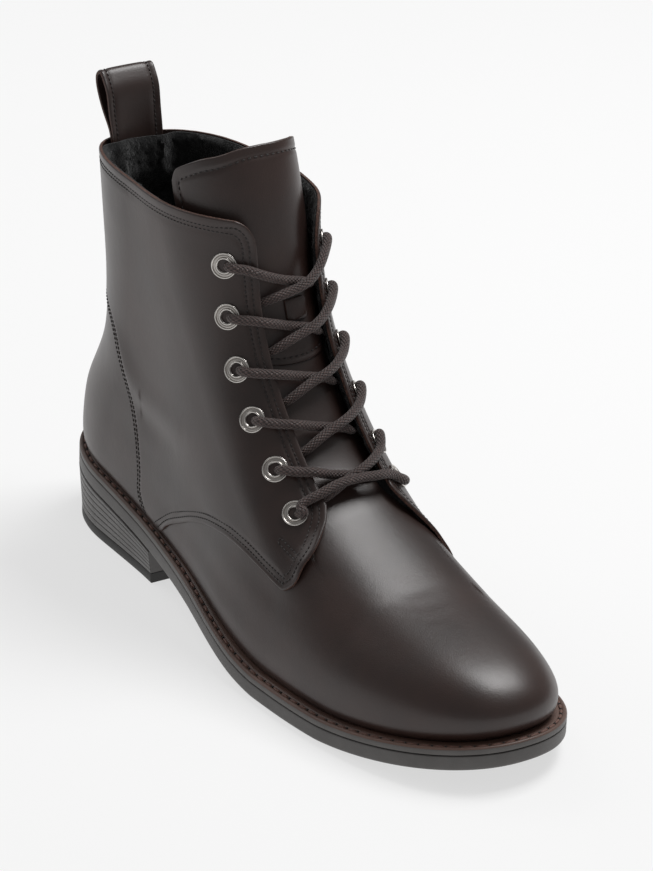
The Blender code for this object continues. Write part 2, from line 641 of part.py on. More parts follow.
strand(
    "lace_bar",
    [
        (v, -start, OVER), (v + 0.02, -EDGE, OVER), (v + 0.03, 0.02, 2.8), (v + 0.02, INNER_EDGE, OVER),
        (v, inner_start, OVER),
    ],
)
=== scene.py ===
"""Looks of a right lace-up ankle boot: smooth dark brown leather, fleece lining, waxed lace, metal eyelets,
stitched welt, rubber outsole and stacked heel. Tables are in millimetres, +X toe, +Y inner side, +Z up."""

import bpy
import numpy as np
from mathutils import Matrix, Vector, kdtree


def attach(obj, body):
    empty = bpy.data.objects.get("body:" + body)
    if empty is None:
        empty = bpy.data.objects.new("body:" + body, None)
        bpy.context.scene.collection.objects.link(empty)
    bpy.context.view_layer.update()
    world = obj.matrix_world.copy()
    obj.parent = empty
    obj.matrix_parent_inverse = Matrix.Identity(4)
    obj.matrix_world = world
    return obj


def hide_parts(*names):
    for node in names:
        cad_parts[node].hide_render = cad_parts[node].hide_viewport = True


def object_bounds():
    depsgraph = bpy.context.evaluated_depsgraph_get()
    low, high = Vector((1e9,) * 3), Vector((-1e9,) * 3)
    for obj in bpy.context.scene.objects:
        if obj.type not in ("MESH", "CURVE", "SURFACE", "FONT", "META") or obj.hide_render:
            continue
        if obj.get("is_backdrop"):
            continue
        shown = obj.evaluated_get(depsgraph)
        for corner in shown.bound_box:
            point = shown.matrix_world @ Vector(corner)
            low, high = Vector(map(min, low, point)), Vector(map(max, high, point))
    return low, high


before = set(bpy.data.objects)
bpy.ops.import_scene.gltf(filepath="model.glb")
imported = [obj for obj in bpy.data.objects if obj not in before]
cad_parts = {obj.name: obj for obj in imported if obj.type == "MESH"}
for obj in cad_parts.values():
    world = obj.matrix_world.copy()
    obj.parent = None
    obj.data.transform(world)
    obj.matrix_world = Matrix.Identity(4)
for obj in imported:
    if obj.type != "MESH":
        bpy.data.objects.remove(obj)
cad_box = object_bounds()

# Vamp: one piece of smooth calf leather pulled over the last, from the toe back to the waist and up between
# the facings as the lower tongue. Its lower edge is held in the seam above the welt. The last's form, which
# the vamp takes, gives every other piece its place.
MM = 0.001
LEATHER_THICKNESS = 1.3
SOLE_THICKNESS = 9.3
HEEL_SHARE = 0.22
BALL_SHARE = 0.50
HEEL_ROUND = 2.2
FRONT_ROUND = 2.27
BACK_BEND_FROM = 95.0
BACK_BEND_LENGTH = 100.0
# Columns: x, z
BOTTOM = [
    (-18, 33.2), (28, 29.2), (60, 24.8), (85, 21.4), (113, 18.0), (142, 12.8),
    (168, 9.2), (185, 9.0), (203, 9.2), (225, 11.2), (245, 14.2), (275, 20.0),
]
FORM_COLUMNS = (
    "rise", "follow", "x_back", "x_heel", "heel_lat", "heel_med", "x_ball", "skew", "ball_lat", "ball_med",
    "x_front", "y_front", "y_back", "pinch_lat", "pinch_med",
)
FORM = [
    (0.3, 1.00, -9.9, 28, 25.4, 26.4, 184, 11, 40.4, 38.7, 262.6, 6.8, 2.3, 2.2, 7.0),
    (4.0, 1.00, -12.0, 28, 27.2, 28.4, 184, 11, 42.0, 40.3, 266.2, 6.8, 2.3, 2.2, 7.0),
    (9.6, 1.00, -12.6, 28, 27.8, 29.1, 183, 11, 42.2, 40.4, 267.1, 6.8, 2.3, 2.2, 7.0),
    (15.6, 1.00, -12.3, 29, 27.8, 29.2, 183, 8, 41.0, 39.0, 263.5, 6.7, 2.3, 2.0, 6.5),
    (22.6, 1.00, -11.3, 30, 27.5, 28.8, 179, 7, 38.9, 37.0, 254.5, 6.1, 2.2, 1.5, 5.5),
    (29.2, 1.00, -9.3, 31, 27.0, 28.2, 172, 6, 36.6, 34.8, 239.2, 5.3, 2.1, 1.0, 4.5),
    (36.2, 1.00, -5.8, 34, 26.6, 27.6, 161, 5, 34.6, 32.8, 217.8, 4.2, 2.0, 0.5, 3.5),
    (45.2, 1.00, -0.9, 38, 26.2, 26.9, 145.5, 4, 32.5, 31.1, 191.8, 2.9, 1.8, 0.0, 2.4),
    (56.5, 0.97, 4.2, 42, 26.2, 26.4, 126, 3, 30.4, 29.8, 166.6, 1.8, 1.4, 0.0, 1.0),
    (70.6, 0.90, 6.3, 44, 26.2, 26.2, 108, 2, 28.7, 28.6, 145.4, 0.9, 0.9, 0.0, 0.4),
    (86.0, 0.80, 6.5, 46, 26.8, 26.8, 93, 1, 28.0, 28.0, 129.3, 0.4, 0.4, 0.0, 0.0),
    (103.0, 0.70, 5.3, 47, 27.9, 27.9, 81, 0, 28.5, 28.5, 118.6, 0.0, 0.0, 0.0, 0.0),
    (121.0, 0.60, 3.5, 47, 29.1, 29.1, 73, 0, 29.6, 29.6, 112.0, 0.0, 0.0, 0.0, 0.0),
    (138.0, 0.55, 1.7, 47, 30.2, 30.2, 67, 0, 30.6, 30.6, 108.5, 0.0, 0.0, 0.0, 0.0),
]
# Columns: x, width
LEDGE = [(-20, 2.8), (60, 2.8), (110, 3.7), (150, 4.8), (280, 4.8)]


class Curve:
    """Natural cubic through rows of values."""

    def __init__(self, at, values):
        self.at = np.asarray(at, float)
        self.values = np.asarray(values, float)
        count = len(self.at)
        step = np.diff(self.at)
        matrix = np.eye(count)
        right = np.zeros(self.values.shape)
        for i in range(1, count - 1):
            matrix[i, i - 1 : i + 2] = step[i - 1], 2 * (step[i - 1] + step[i]), step[i]
            after = (self.values[i + 1] - self.values[i]) / step[i]
            before = (self.values[i] - self.values[i - 1]) / step[i - 1]
            right[i] = 6 * (after - before)
        self.bend = np.linalg.solve(matrix, right)

    def __call__(self, t):
        t = np.asarray(t, float)
        i = np.clip(np.searchsorted(self.at, t) - 1, 0, len(self.at) - 2)
        span = self.at[i + 1] - self.at[i]
        low = (self.at[i + 1] - t) / span
        high = (t - self.at[i]) / span
        if self.values.ndim > 1:
            low, high, span = low[..., None], high[..., None], span[..., None]
        cubic = (low**3 - low) * self.bend[i] + (high**3 - high) * self.bend[i + 1]
        return low * self.values[i] + high * self.values[i + 1] + cubic * span**2 / 6


def columns(rows):
    """A table's columns as arrays."""
    return [np.array(c, float) for c in zip(*rows)]


def chord(points):
    """Running length along a row of points."""
    steps = np.linalg.norm(np.diff(np.asarray(points, float), axis=0), axis=1)
    return np.concatenate([[0.0], np.cumsum(steps)])


def smooth_line(rows, count):
    """Evenly spaced points on a smooth curve through the rows."""
    run = chord(rows)
    return Curve(run, rows)(np.linspace(0, run[-1], count))


def smoothstep(low, high, x):
    t = np.clip((x - low) / (high - low), 0, 1)
    return t * t * (3 - 2 * t)


welt_curve = Curve(*columns(BOTTOM))


def welt_height(x):
    """Height of the welt's upper face, level where the forefoot stands on the floor."""
    return np.maximum(welt_curve(x), SOLE_THICKNESS)


HEEL_SEAT_X = -6.0
HEEL_SEAT = float(welt_height(HEEL_SEAT_X))


def form_curve():
    """The form's columns against v, which runs from 0 at the feather line to 1 near the collar and is the
    mean of the run up the front and of the rise."""
    table = np.array(FORM, float)
    rise, follow = table[:, 0], table[:, 1]
    front = table[:, FORM_COLUMNS.index("x_front")]
    front_z = rise + follow * (welt_height(front) - HEEL_SEAT)
    run = chord(np.stack([front, front_z], -1))
    v = 0.5 * run / run[-1] + 0.5 * (rise - rise[0]) / (rise[-1] - rise[0])
    return Curve(v, table)


form = form_curve()


def surface(v, r):
    """Point on the outside of the form. r is the share of the girth from the back centre, positive on the
    inner side, and wraps at the front centre."""
    v, r = np.broadcast_arrays(np.asarray(v, float), np.asarray(r, float))
    r = (r + 1) % 2 - 1
    side = np.where(r < 0, -1.0, 1.0)
    q = np.abs(r)
    g = dict(zip(FORM_COLUMNS, np.moveaxis(form(v), -1, 0)))
    medial = side > 0
    x_heel = g["x_heel"]
    x_ball = g["x_ball"] + side * g["skew"]
    heel = np.where(medial, g["heel_med"], g["heel_lat"])
    ball = np.where(medial, g["ball_med"], g["ball_lat"])
    pinch = np.where(medial, g["pinch_med"], g["pinch_lat"])
    a = np.clip(q / HEEL_SHARE, 0, 1) * np.pi / 2
    x1 = x_heel - (x_heel - g["x_back"]) * np.cos(a) ** (2 / HEEL_ROUND)
    w1 = heel * np.sin(a) ** (2 / HEEL_ROUND)
    t = np.clip((q - HEEL_SHARE) / (BALL_SHARE - HEEL_SHARE), 0, 1)
    x2 = x_heel + (x_ball - x_heel) * t
    w2 = heel + (ball - heel) * t**3 * (10 - 15 * t + 6 * t * t) - pinch * (4 * t * (1 - t)) ** 3
    b = np.clip((q - BALL_SHARE) / (1 - BALL_SHARE), 0, 1) * np.pi / 2
    x3 = x_ball + (g["x_front"] - x_ball) * np.sin(b) ** (2 / FRONT_ROUND)
    w3 = ball * np.clip(np.cos(b), 0, 1) ** (2 / FRONT_ROUND)
    x = np.where(q < HEEL_SHARE, x1, np.where(q < BALL_SHARE, x2, x3))
    w = np.where(q < HEEL_SHARE, w1, np.where(q < BALL_SHARE, w2, w3))
    bend = g["y_front"] * np.clip((x - x_heel) / (g["x_front"] - x_heel), 0, 1) ** 2
    bend = bend + g["y_back"] * np.clip((BACK_BEND_FROM - x) / BACK_BEND_LENGTH, 0, 2) ** 2
    z = g["rise"] + HEEL_SEAT + g["follow"] * (welt_height(x) - HEEL_SEAT)
    return np.stack([x, side * w + bend, z], -1)


NORMAL_STEP_V = 0.004
NORMAL_STEP_R = 0.006
LEVEL_BELOW = 0.06


def outward(v, r):
    """Unit normal of the form, turned level next to the feather line."""
    v, r = np.broadcast_arrays(np.asarray(v, float), np.asarray(r, float))
    up = surface(v + NORMAL_STEP_V, r) - surface(v - NORMAL_STEP_V, r)
    along = surface(v, r + NORMAL_STEP_R) - surface(v, r - NORMAL_STEP_R)
    n = np.cross(up, along)
    n[..., 2] *= np.clip(v / LEVEL_BELOW, 0, 1)
    return n / np.linalg.norm(n, axis=-1, keepdims=True)


def wall(v, r, offset):
    """Point at an offset outside the form, negative inside it."""
    return surface(v, r) + np.asarray(offset, float)[..., None] * outward(v, r)


def sole_edge(v, margin, count=900):
    """Plan outline of the form at v, moved outward by a margin that may vary along x."""
    p = surface(v, np.linspace(-1, 1, count, endpoint=False))[:, :2]
    d = np.roll(p, -1, 0) - np.roll(p, 1, 0)
    n = np.stack([d[:, 1], -d[:, 0]], -1)
    n /= np.linalg.norm(n, axis=1)[:, None]
    if (n * (p - p.mean(0))).sum() < 0:
        n = -n
    return p + np.reshape(margin(p[:, 0]), (-1, 1)) * n


WELT_V = 0.02


def ledge(inset):
    """Outline of the welt's rim, moved in by an inset."""
    at, width = columns(LEDGE)
    return sole_edge(WELT_V, lambda x: np.interp(x, at, width) - inset)


rim = ledge(0.0)
MIDDLE = np.array([*(rim.min(0) + rim.max(0)) / 2, 0.0])


def grid_faces(index):
    """Quads over a grid of point numbers, facing outward when rows run up and columns run with r."""
    a, b, c, d = index[:-1, :-1], index[1:, :-1], index[1:, 1:], index[:-1, 1:]
    return np.stack([a, b, c, d], -1).reshape(-1, 4)


def add_piece(name, points, faces, materials, face_slots=None, sharp=50):
    """Mesh object from points in the tables' millimetres."""
    mesh = bpy.data.meshes.new(name)
    mesh.from_pydata(((np.asarray(points, float) - MIDDLE) * MM).tolist(), [], [list(f) for f in faces])
    for m in materials:
        mesh.materials.append(m)
    if face_slots is not None:
        mesh.polygons.foreach_set("material_index", face_slots)
    mesh.shade_smooth()
    mesh.set_sharp_from_angle(angle=np.radians(sharp))
    made = bpy.data.objects.new(name, mesh)
    bpy.context.scene.collection.objects.link(made)
    return made


def shell(name, outer, inner, materials):
    """Closed wall between two grids of points. The strip round its edge takes the last material."""
    rows, cols = outer.shape[:2]
    index = np.arange(rows * cols).reshape(rows, cols)
    front = grid_faces(index)
    border = np.concatenate([index[:-1, 0], index[-1, :-1], index[:0:-1, -1], index[0, :0:-1]])
    after = np.roll(border, -1)
    back = rows * cols
    strip = np.stack([after, border, border + back, after + back], -1)
    faces = np.concatenate([front, front[:, ::-1] + back, strip])
    slots = np.zeros(len(faces), np.int32)
    slots[2 * len(front) :] = len(materials) - 1
    points = np.concatenate([outer.reshape(-1, 3), inner.reshape(-1, 3)])
    return add_piece(name, points, faces.tolist(), materials, slots)


def dress(made, slot, *nodes):
    """Rides on the boot's one body and stands for these nodes. Its slot is not used."""
    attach(made, "root")
    if nodes:
        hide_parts(*nodes)
    return made


def shader_material(name, colour, roughness, **sockets):
    """Principled material; returns it with its node tree and shader."""
    m = bpy.data.materials.new(name)
    m.use_nodes = True
    shader = m.node_tree.nodes["Principled BSDF"]
    shader.inputs["Base Color"].default_value = (*colour, 1.0)
    shader.inputs["Roughness"].default_value = roughness
    for socket, value in sockets.items():
        shader.inputs[socket.replace("_", " ").title().replace("Ior", "IOR")].default_value = value
    return m, m.node_tree, shader


def texture(tree, kind, vector, **inputs):
    """Texture node fed by a vector, with its sockets set by name."""
    node = tree.nodes.new(kind)
    tree.links.new(vector, node.inputs["Vector"])
    for socket, value in inputs.items():
        node.inputs[socket.title()].default_value = value
    return node


def ramp_colours(tree, factor, low, high, span=(0.0, 1.0)):
    """Colour between two, by a factor."""
    node = tree.nodes.new("ShaderNodeValToRGB")
    tree.links.new(factor, node.inputs["Fac"])
    for element, at, colour in zip(node.color_ramp.elements, span, (low, high)):
        element.position = at
        element.color = (*colour, 1.0)
    return node.outputs["Color"]


def map_range(tree, value, low, high):
    """Value from 0 to 1 spread between two others."""
    node = tree.nodes.new("ShaderNodeMapRange")
    tree.links.new(value, node.inputs["Value"])
    node.inputs["To Min"].default_value = low
    node.inputs["To Max"].default_value = high
    return node.outputs["Result"]


def bump(tree, shader, height, depth, strength=1.0, before=None):
    """Bump of a depth in metres, chained after another one."""
    node = tree.nodes.new("ShaderNodeBump")
    node.inputs["Strength"].default_value = strength
    node.inputs["Distance"].default_value = depth
    tree.links.new(height, node.inputs["Height"])
    if before is not None:
        tree.links.new(before.outputs["Normal"], node.inputs["Normal"])
    tree.links.new(node.outputs["Normal"], shader.inputs["Normal"])
    return node


def object_coordinates(tree):
    return tree.nodes.new("ShaderNodeTexCoord").outputs["Object"]


POLISH_RANGE = 0.06


def leather_finish(name, dark, warm, gloss):
    """Smooth aniline leather: cloudy colour, fine pores, uneven polish under a thin wax coat."""
    m, tree, shader = shader_material(name, dark, gloss, coat_weight=0.16, coat_roughness=0.26)
    where = object_coordinates(tree)
    cloud = texture(tree, "ShaderNodeTexNoise", where, scale=26.0, detail=5.0, roughness=0.6)
    colour = ramp_colours(tree, cloud.outputs["Fac"], dark, warm, span=(0.35, 0.72))
    tree.links.new(colour, shader.inputs["Base Color"])
    polish = texture(tree, "ShaderNodeTexNoise", where, scale=60.0, detail=3.0)
    uneven = map_range(tree, polish.outputs["Fac"], gloss - POLISH_RANGE, gloss + POLISH_RANGE)
    tree.links.new(uneven, shader.inputs["Roughness"])
    hide = texture(tree, "ShaderNodeTexNoise", where, scale=330.0, detail=4.0)
    pores = texture(tree, "ShaderNodeTexVoronoi", where, scale=1900.0)
    first = bump(tree, shader, hide.outputs["Fac"], depth=0.00008, strength=0.5)
    bump(tree, shader, pores.outputs["Distance"], depth=0.00005, strength=0.45, before=first)
    return m


CALF_DARK = (0.0195, 0.0103, 0.0085)
CALF_WARM = (0.0350, 0.0170, 0.0132)
CUT_BROWN = (0.075, 0.034, 0.024)
CUT_DARK = (0.030, 0.014, 0.010)
CUT_PALE = (0.120, 0.055, 0.038)
leather = leather_finish("dark_brown_calf", CALF_DARK, CALF_WARM, gloss=0.39)
cut_edge, tree, shader = shader_material("cut_leather_edge", CUT_BROWN, roughness=0.75)
fibre = texture(tree, "ShaderNodeTexNoise", object_coordinates(tree), scale=1500.0, detail=3.0)
cut_colours = ramp_colours(tree, fibre.outputs["Fac"], CUT_DARK, CUT_PALE, span=(0.3, 0.7))
tree.links.new(cut_colours, shader.inputs["Base Color"])
bump(tree, shader, fibre.outputs["Fac"], depth=0.0002)

# Columns: girth, v
COUNTER_SEAM = [
    (0.000, 0.600), (0.060, 0.595), (0.110, 0.580), (0.150, 0.560), (0.176, 0.535), (0.205, 0.470),
    (0.234, 0.377), (0.250, 0.300), (0.263, 0.215), (0.271, 0.105), (0.278, 0.040), (0.286, 0.004),
]
VAMP_SEAM = [
    (0.306, 0.004), (0.314, 0.025), (0.323, 0.050), (0.335, 0.082), (0.353, 0.122), (0.375, 0.162),
    (0.398, 0.199), (0.422, 0.229), (0.446, 0.250), (0.470, 0.258), (0.492, 0.256), (0.514, 0.250),
    (0.535, 0.243),
]
FRONT_EDGE = [
    (0.535, 0.243), (0.574, 0.271), (0.625, 0.308), (0.673, 0.341), (0.720, 0.367), (0.770, 0.394),
    (0.820, 0.423), (0.862, 0.449), (0.886, 0.470),
]
FACING_GIRTH = 0.886
SEAM_POINTS = 900
counter_seam = smooth_line(COUNTER_SEAM, SEAM_POINTS)
vamp_seam = smooth_line(VAMP_SEAM, SEAM_POINTS)
front_edge = smooth_line(FRONT_EDGE, SEAM_POINTS)
quarter_edge = np.concatenate([counter_seam, vamp_seam, front_edge[1:]])
TIP_GIRTH = 0.545
INNER_SHORTENING = 0.85


def quarter_low(girth):
    """Lower edge of a quarter at a girth in the tables."""
    return np.interp(girth, quarter_edge[:, 0], quarter_edge[:, 1])


def placed(girth):
    """Share r of a girth in the tables, shortened beyond the quarter's tip on the inner side."""
    girth = np.asarray(girth, float)
    inner = TIP_GIRTH + (girth - TIP_GIRTH) * INNER_SHORTENING
    return np.where(girth > TIP_GIRTH, inner, girth)


def girth_of(r):
    """Girth in the tables of a share r, never negative."""
    r = (np.asarray(r, float) + 1) % 2 - 1
    inner = TIP_GIRTH + (r - TIP_GIRTH) / INNER_SHORTENING
    return np.where(r > TIP_GIRTH, inner, np.abs(r))


# Columns: v, depth
TONGUE_INSET = [(0.43, 2.2), (0.48, 2.2), (0.60, 3.1), (0.85, 3.4), (0.95, 4.2), (1.05, 5.8), (1.16, 8.0)]
TONGUE_SEAM = 0.714
VAMP_BACK = 0.293
TONGUE_SEAM_LAP = 0.03
WING_LAP = 0.05
NECK_SIDES = (0.24, 0.29)
SINK_HEIGHTS = (0.36, 0.56)
SINK_SIDES = (0.28, 0.34)
SINK_BELOW_TONGUE = 1.0
LAP_DEPTH = 0.7
LAP_WIDTH = 0.03
FOOT_SWELL = 0.8
FOOT_HEIGHT = 0.05
VAMP_COLUMNS = 281
VAMP_ROWS = 132
# Columns: v, bow, reach, depth, width
VAMP_CREASES = [
    (0.140, 0.5, 0.26, 0.22, 0.055), (0.262, 0.9, 0.10, 0.05, 0.009), (0.287, 0.8, 0.16, 0.07, 0.010),
    (0.316, 0.7, 0.13, 0.05, 0.010),
]


def from_front(r):
    """Share of the girth from the front centre, never negative."""
    return 1 - np.abs((r + 1) % 2 - 1)


def vamp_sink(v, front):
    """How far the lower tongue lies behind the form, between the facings."""
    depth = np.interp(v, *columns(TONGUE_INSET)) + SINK_BELOW_TONGUE
    return smoothstep(*SINK_HEIGHTS, v) * depth * (1 - smoothstep(*SINK_SIDES, front))


vamp_r = 1 + np.linspace(-1, 1, VAMP_COLUMNS) * (1 - VAMP_BACK)
front = from_front(vamp_r)
neck_top = TONGUE_SEAM + TONGUE_SEAM_LAP
wing_top = np.minimum(quarter_low(girth_of(vamp_r)) + WING_LAP, neck_top)
vamp_top = wing_top + (neck_top - wing_top) * (1 - smoothstep(*NECK_SIDES, front))
v_grid = np.linspace(0, 1, VAMP_ROWS)[:, None] * vamp_top
r_grid = np.broadcast_to(vamp_r, v_grid.shape)
front = from_front(r_grid)
lap = LAP_DEPTH * smoothstep(0.0, LAP_WIDTH, v_grid - quarter_low(girth_of(r_grid)))
foot = FOOT_SWELL * (1 - smoothstep(0.0, FOOT_HEIGHT, v_grid))
vamp_offset = foot - np.maximum(vamp_sink(v_grid, front), lap)
for v, bow, reach, deep, width in VAMP_CREASES:
    across = np.exp(-((front / reach) ** 2))
    vamp_offset -= deep * across * np.exp(-(((v_grid - v - bow * front**2) / width) ** 2))
vamp = shell(
    "vamp",
    wall(v_grid, r_grid, vamp_offset),
    wall(v_grid, r_grid, vamp_offset - LEATHER_THICKNESS),
    [leather, cut_edge],
)
dress(vamp, "upper_leather", "upper")

# Heel counter: stiffened leather round the heel, moulded with the last. Its front edges go under the
# quarters and are held there by the two rows of the counter seam.
COUNTER_STEP = 0.6
COUNTER_LAP = 0.030
COUNTER_TOP = 0.63
COUNTER_TURN = 0.595
COUNTER_TUCK = 1.0
TUCK_SHARES = (0.1, 0.7)
COUNTER_SWELL = 0.6
COUNTER_GRID = (96, 141)
v = np.linspace(0, COUNTER_TOP, COUNTER_GRID[0])[:, None]
half = np.interp(v, counter_seam[::-1, 1], counter_seam[::-1, 0]) + COUNTER_LAP
v_grid = np.broadcast_to(v, COUNTER_GRID)
r_grid = half * np.linspace(-1, 1, COUNTER_GRID[1])
under = np.maximum(np.abs(r_grid) - half + COUNTER_LAP, 0) / COUNTER_LAP
under = np.maximum(under, smoothstep(COUNTER_TURN, COUNTER_TOP, v_grid))
foot = COUNTER_SWELL * FOOT_SWELL * (1 - smoothstep(0.0, FOOT_HEIGHT, v_grid))
offset = COUNTER_STEP - COUNTER_TUCK * smoothstep(*TUCK_SHARES, under) + foot
counter = shell(
    "heel_counter",
    wall(v_grid, r_grid, offset),
    wall(v_grid, r_grid, offset - LEATHER_THICKNESS),
    [leather, cut_edge],
)
dress(counter, "upper_leather", "upper")

# Quarters: the two sides of the shaft with their facings, cut in one leather and lapped over the vamp and
# the counter. Their edges are rolled and sewn down with two rows of dark thread, and the facings stand a
# little off the vamp at their lower ends.
QUARTER_STEP = 1.1
EDGE_ROLL = 0.55
# Columns: girth, lateral, medial
COLLAR = [
    (0.00, 0.943, 0.943), (0.10, 0.960, 0.948), (0.20, 0.977, 0.963), (0.32, 0.980, 0.974),
    (0.50, 0.984, 0.985), (0.70, 0.998, 0.990), (0.80, 1.000, 0.990), (0.886, 0.998, 0.986),
]
# Columns: girth, drop
LATERAL_CORNER = (0.815, 0.060)
MEDIAL_CORNER = (0.750, 0.085)
# Columns: v, girth
FACING_SWING = [(0.45, 0.0), (0.60, -0.004), (0.70, -0.006), (0.80, 0.002), (0.90, 0.014), (1.00, 0.020)]
SWING_FROM = 0.78
FACING_SIDES = (0.55, 0.70)
FRONT_ROWS = (2.7, 5.2)
COLLAR_ROWS = (3.7, 5.2)
VAMP_SEAM_ROWS = (2.2, 4.2)
COUNTER_ROWS = (0.9, 2.5)
BAR_TACK = [(0.355, 0.652), (0.375, 0.618), (0.390, 0.640), (0.367, 0.677)]
GROOVE_DEPTH = 0.36
GROOVE_WIDTH = 0.90
# Columns: v, lateral, medial
FACING_LIFT = [
    (0.24, 0.3, 0.1), (0.28, 1.4, 0.2), (0.32, 2.2, 0.5), (0.38, 2.3, 1.3), (0.44, 1.6, 2.2),
    (0.50, 1.0, 2.0), (0.58, 0.7, 1.6), (0.70, 0.6, 1.4), (0.90, 0.5, 1.0), (1.00, 0.4, 0.7),
]
LIFT_WIDTH = 5.0
# Columns: v, girth
ANKLE_RIDGE = [
    (0.541, 0.166), (0.480, 0.210), (0.422, 0.244), (0.405, 0.270), (0.416, 0.309), (0.423, 0.339),
    (0.447, 0.391),
]
ANKLE_HOLLOW = [(0.362, 0.245), (0.330, 0.270), (0.322, 0.290), (0.338, 0.325), (0.362, 0.355)]
# Columns: line, height, width
ANKLE_FOLDS = [(ANKLE_RIDGE, 1.0, 6.5), (ANKLE_HOLLOW, -0.6, 6.0)]
FOLD_POINTS = 120
FOLD_ENDS = (0.04, 0.96)
FOLD_FADE = 0.7
COLLAR_V = 0.97
COLLAR_POINTS = 801
collar_girth, collar_lateral, collar_medial = columns(COLLAR)
rim_girth = np.linspace(-FACING_GIRTH, FACING_GIRTH, COLLAR_POINTS)
rim_run = chord(surface(COLLAR_V, placed(rim_girth)))
collar_run = np.interp(np.concatenate([-collar_girth[:0:-1], collar_girth]), rim_girth, rim_run)
collar_curve = Curve(collar_run, np.concatenate([collar_lateral[:0:-1], collar_medial]))


def collar(girth):
    """Upper edge of the shaft, negative girth on the outer side, rounded off at the top of each facing."""
    start = np.where(girth < 0, LATERAL_CORNER[0], MEDIAL_CORNER[0])
    drop = np.where(girth < 0, LATERAL_CORNER[1], MEDIAL_CORNER[1])
    past = np.clip((np.abs(girth) - start) / (FACING_GIRTH - start), 0, 1)
    return collar_curve(np.interp(girth, rim_girth, rim_run)) - drop * (1 - np.sqrt(1 - past**2))


def swung(girth, v):
    """Girth moved with the outer facing, which swings forward towards the collar."""
    move = np.interp(v, *columns(FACING_SWING)) * smoothstep(SWING_FROM, FACING_GIRTH, -girth)
    return girth - move


def facing_lift(v, side, from_facing):
    """How far a facing stands off, by height, side and distance from its edge in millimetres."""
    at, lateral, medial = columns(FACING_LIFT)
    lift = np.where(side < 0, np.interp(v, at, lateral), np.interp(v, at, medial))
    return lift * np.exp(-((from_facing / LIFT_WIDTH) ** 2))


def spread(lengths, near, count):
    """Distances along columns of these lengths, close together at both ends."""
    near = np.asarray(near, float)[:, None]
    even = np.linspace(0, 1, count + 2)[1:-1, None]
    middle = near[-1] + even * (lengths - 2 * near[-1])
    return np.concatenate([near + 0 * lengths, middle, lengths - near[::-1]])


COLUMN_STEPS = 90


def column_grid(r, low, top, near, count):
    """v of a grid whose columns run from low to top, spaced by length on the surface."""
    steps = np.linspace(0, 1, COLUMN_STEPS)[:, None]
    v = low + steps * (top - low)
    p = surface(v, np.broadcast_to(r, v.shape))
    climb = np.cumsum(np.linalg.norm(np.diff(p, axis=0), axis=-1), 0)
    run = np.concatenate([np.zeros((1, len(r))), climb])
    want = spread(run[-1], near, count)
    return np.stack([np.interp(want[:, i], run[:, i], v[:, i]) for i in range(len(r))], -1)


def point_tree(points):
    """Search tree over points."""
    tree = kdtree.KDTree(len(points))
    for i, p in enumerate(points):
        tree.insert(p, i)
    tree.balance()
    return tree


def nearest(points, targets):
    """Distance of each point to the closest target, in millimetres."""
    tree = point_tree(targets)
    flat = points.reshape(-1, 3)
    return np.array([tree.find(p)[2] for p in flat]).reshape(points.shape[:-1])


SLOPE_STEP = 0.002


def inset_path(v, r, depth, inward):
    """Path on the form beside another one, moved by a depth to its left (1) or right (-1)."""
    p = surface(v, r)
    along = np.gradient(p, axis=0)
    along /= np.linalg.norm(along, axis=1)[:, None]
    aim = inward * np.reshape(depth, (-1, 1)) * np.cross(outward(v, r), along)
    by_v = (surface(v + SLOPE_STEP, r) - surface(v - SLOPE_STEP, r)) / (2 * SLOPE_STEP)
    by_r = (surface(v, r + SLOPE_STEP) - surface(v, r - SLOPE_STEP)) / (2 * SLOPE_STEP)
    basis = np.stack([by_v, by_r], -1)
    move = np.stack([np.linalg.lstsq(b, a, rcond=None)[0] for b, a in zip(basis, aim)])
    return v + move[:, 0], r + move[:, 1]


def even_rows(v, r, spacing):
    """The path resampled at a spacing in millimetres."""
    run = chord(surface(v, r))
    at = np.linspace(0, run[-1], max(2, int(run[-1] / spacing)))
    return np.interp(at, run, v), np.interp(at, run, r)


FACING_POINTS = 300
CORNER_STEPS = 0.001 * np.linspace(0, 1, 40) ** 2
TOP_GIRTHS = np.linspace(0.8849, 0, 700)
EDGE_SPACING = 0.25


def quarter_outline(side):
    """Edges of one quarter as v and r: counter seam, vamp seam, then front edge, facing and collar."""
    facing_top = float(collar(np.array([side * FACING_GIRTH]))[0])
    facing_v = np.linspace(front_edge[-1, 1], facing_top, FACING_POINTS)
    facing = np.stack([np.full(FACING_POINTS, FACING_GIRTH), facing_v], -1)
    top_q = np.concatenate([FACING_GIRTH - CORNER_STEPS, TOP_GIRTHS])
    top = np.stack([top_q, collar(side * top_q)], -1)
    upper = np.concatenate([front_edge, facing[1:], top[1:]])
    edges = []
    for edge in (counter_seam, vamp_seam, upper):
        edges.append(even_rows(edge[:, 1], placed(swung(side * edge[:, 0], edge[:, 1])), EDGE_SPACING))
    return edges


ROW_SPACING = 0.8
TACK_SPACING = 0.5
GROOVE_SPACING = 0.3
ROW_CLEARANCE = 0.93
LOWEST_STITCH = 0.012
COLLAR_ROWS_ABOVE = 0.9
COLLAR_ROW_SIDES = (0.74, 0.86)


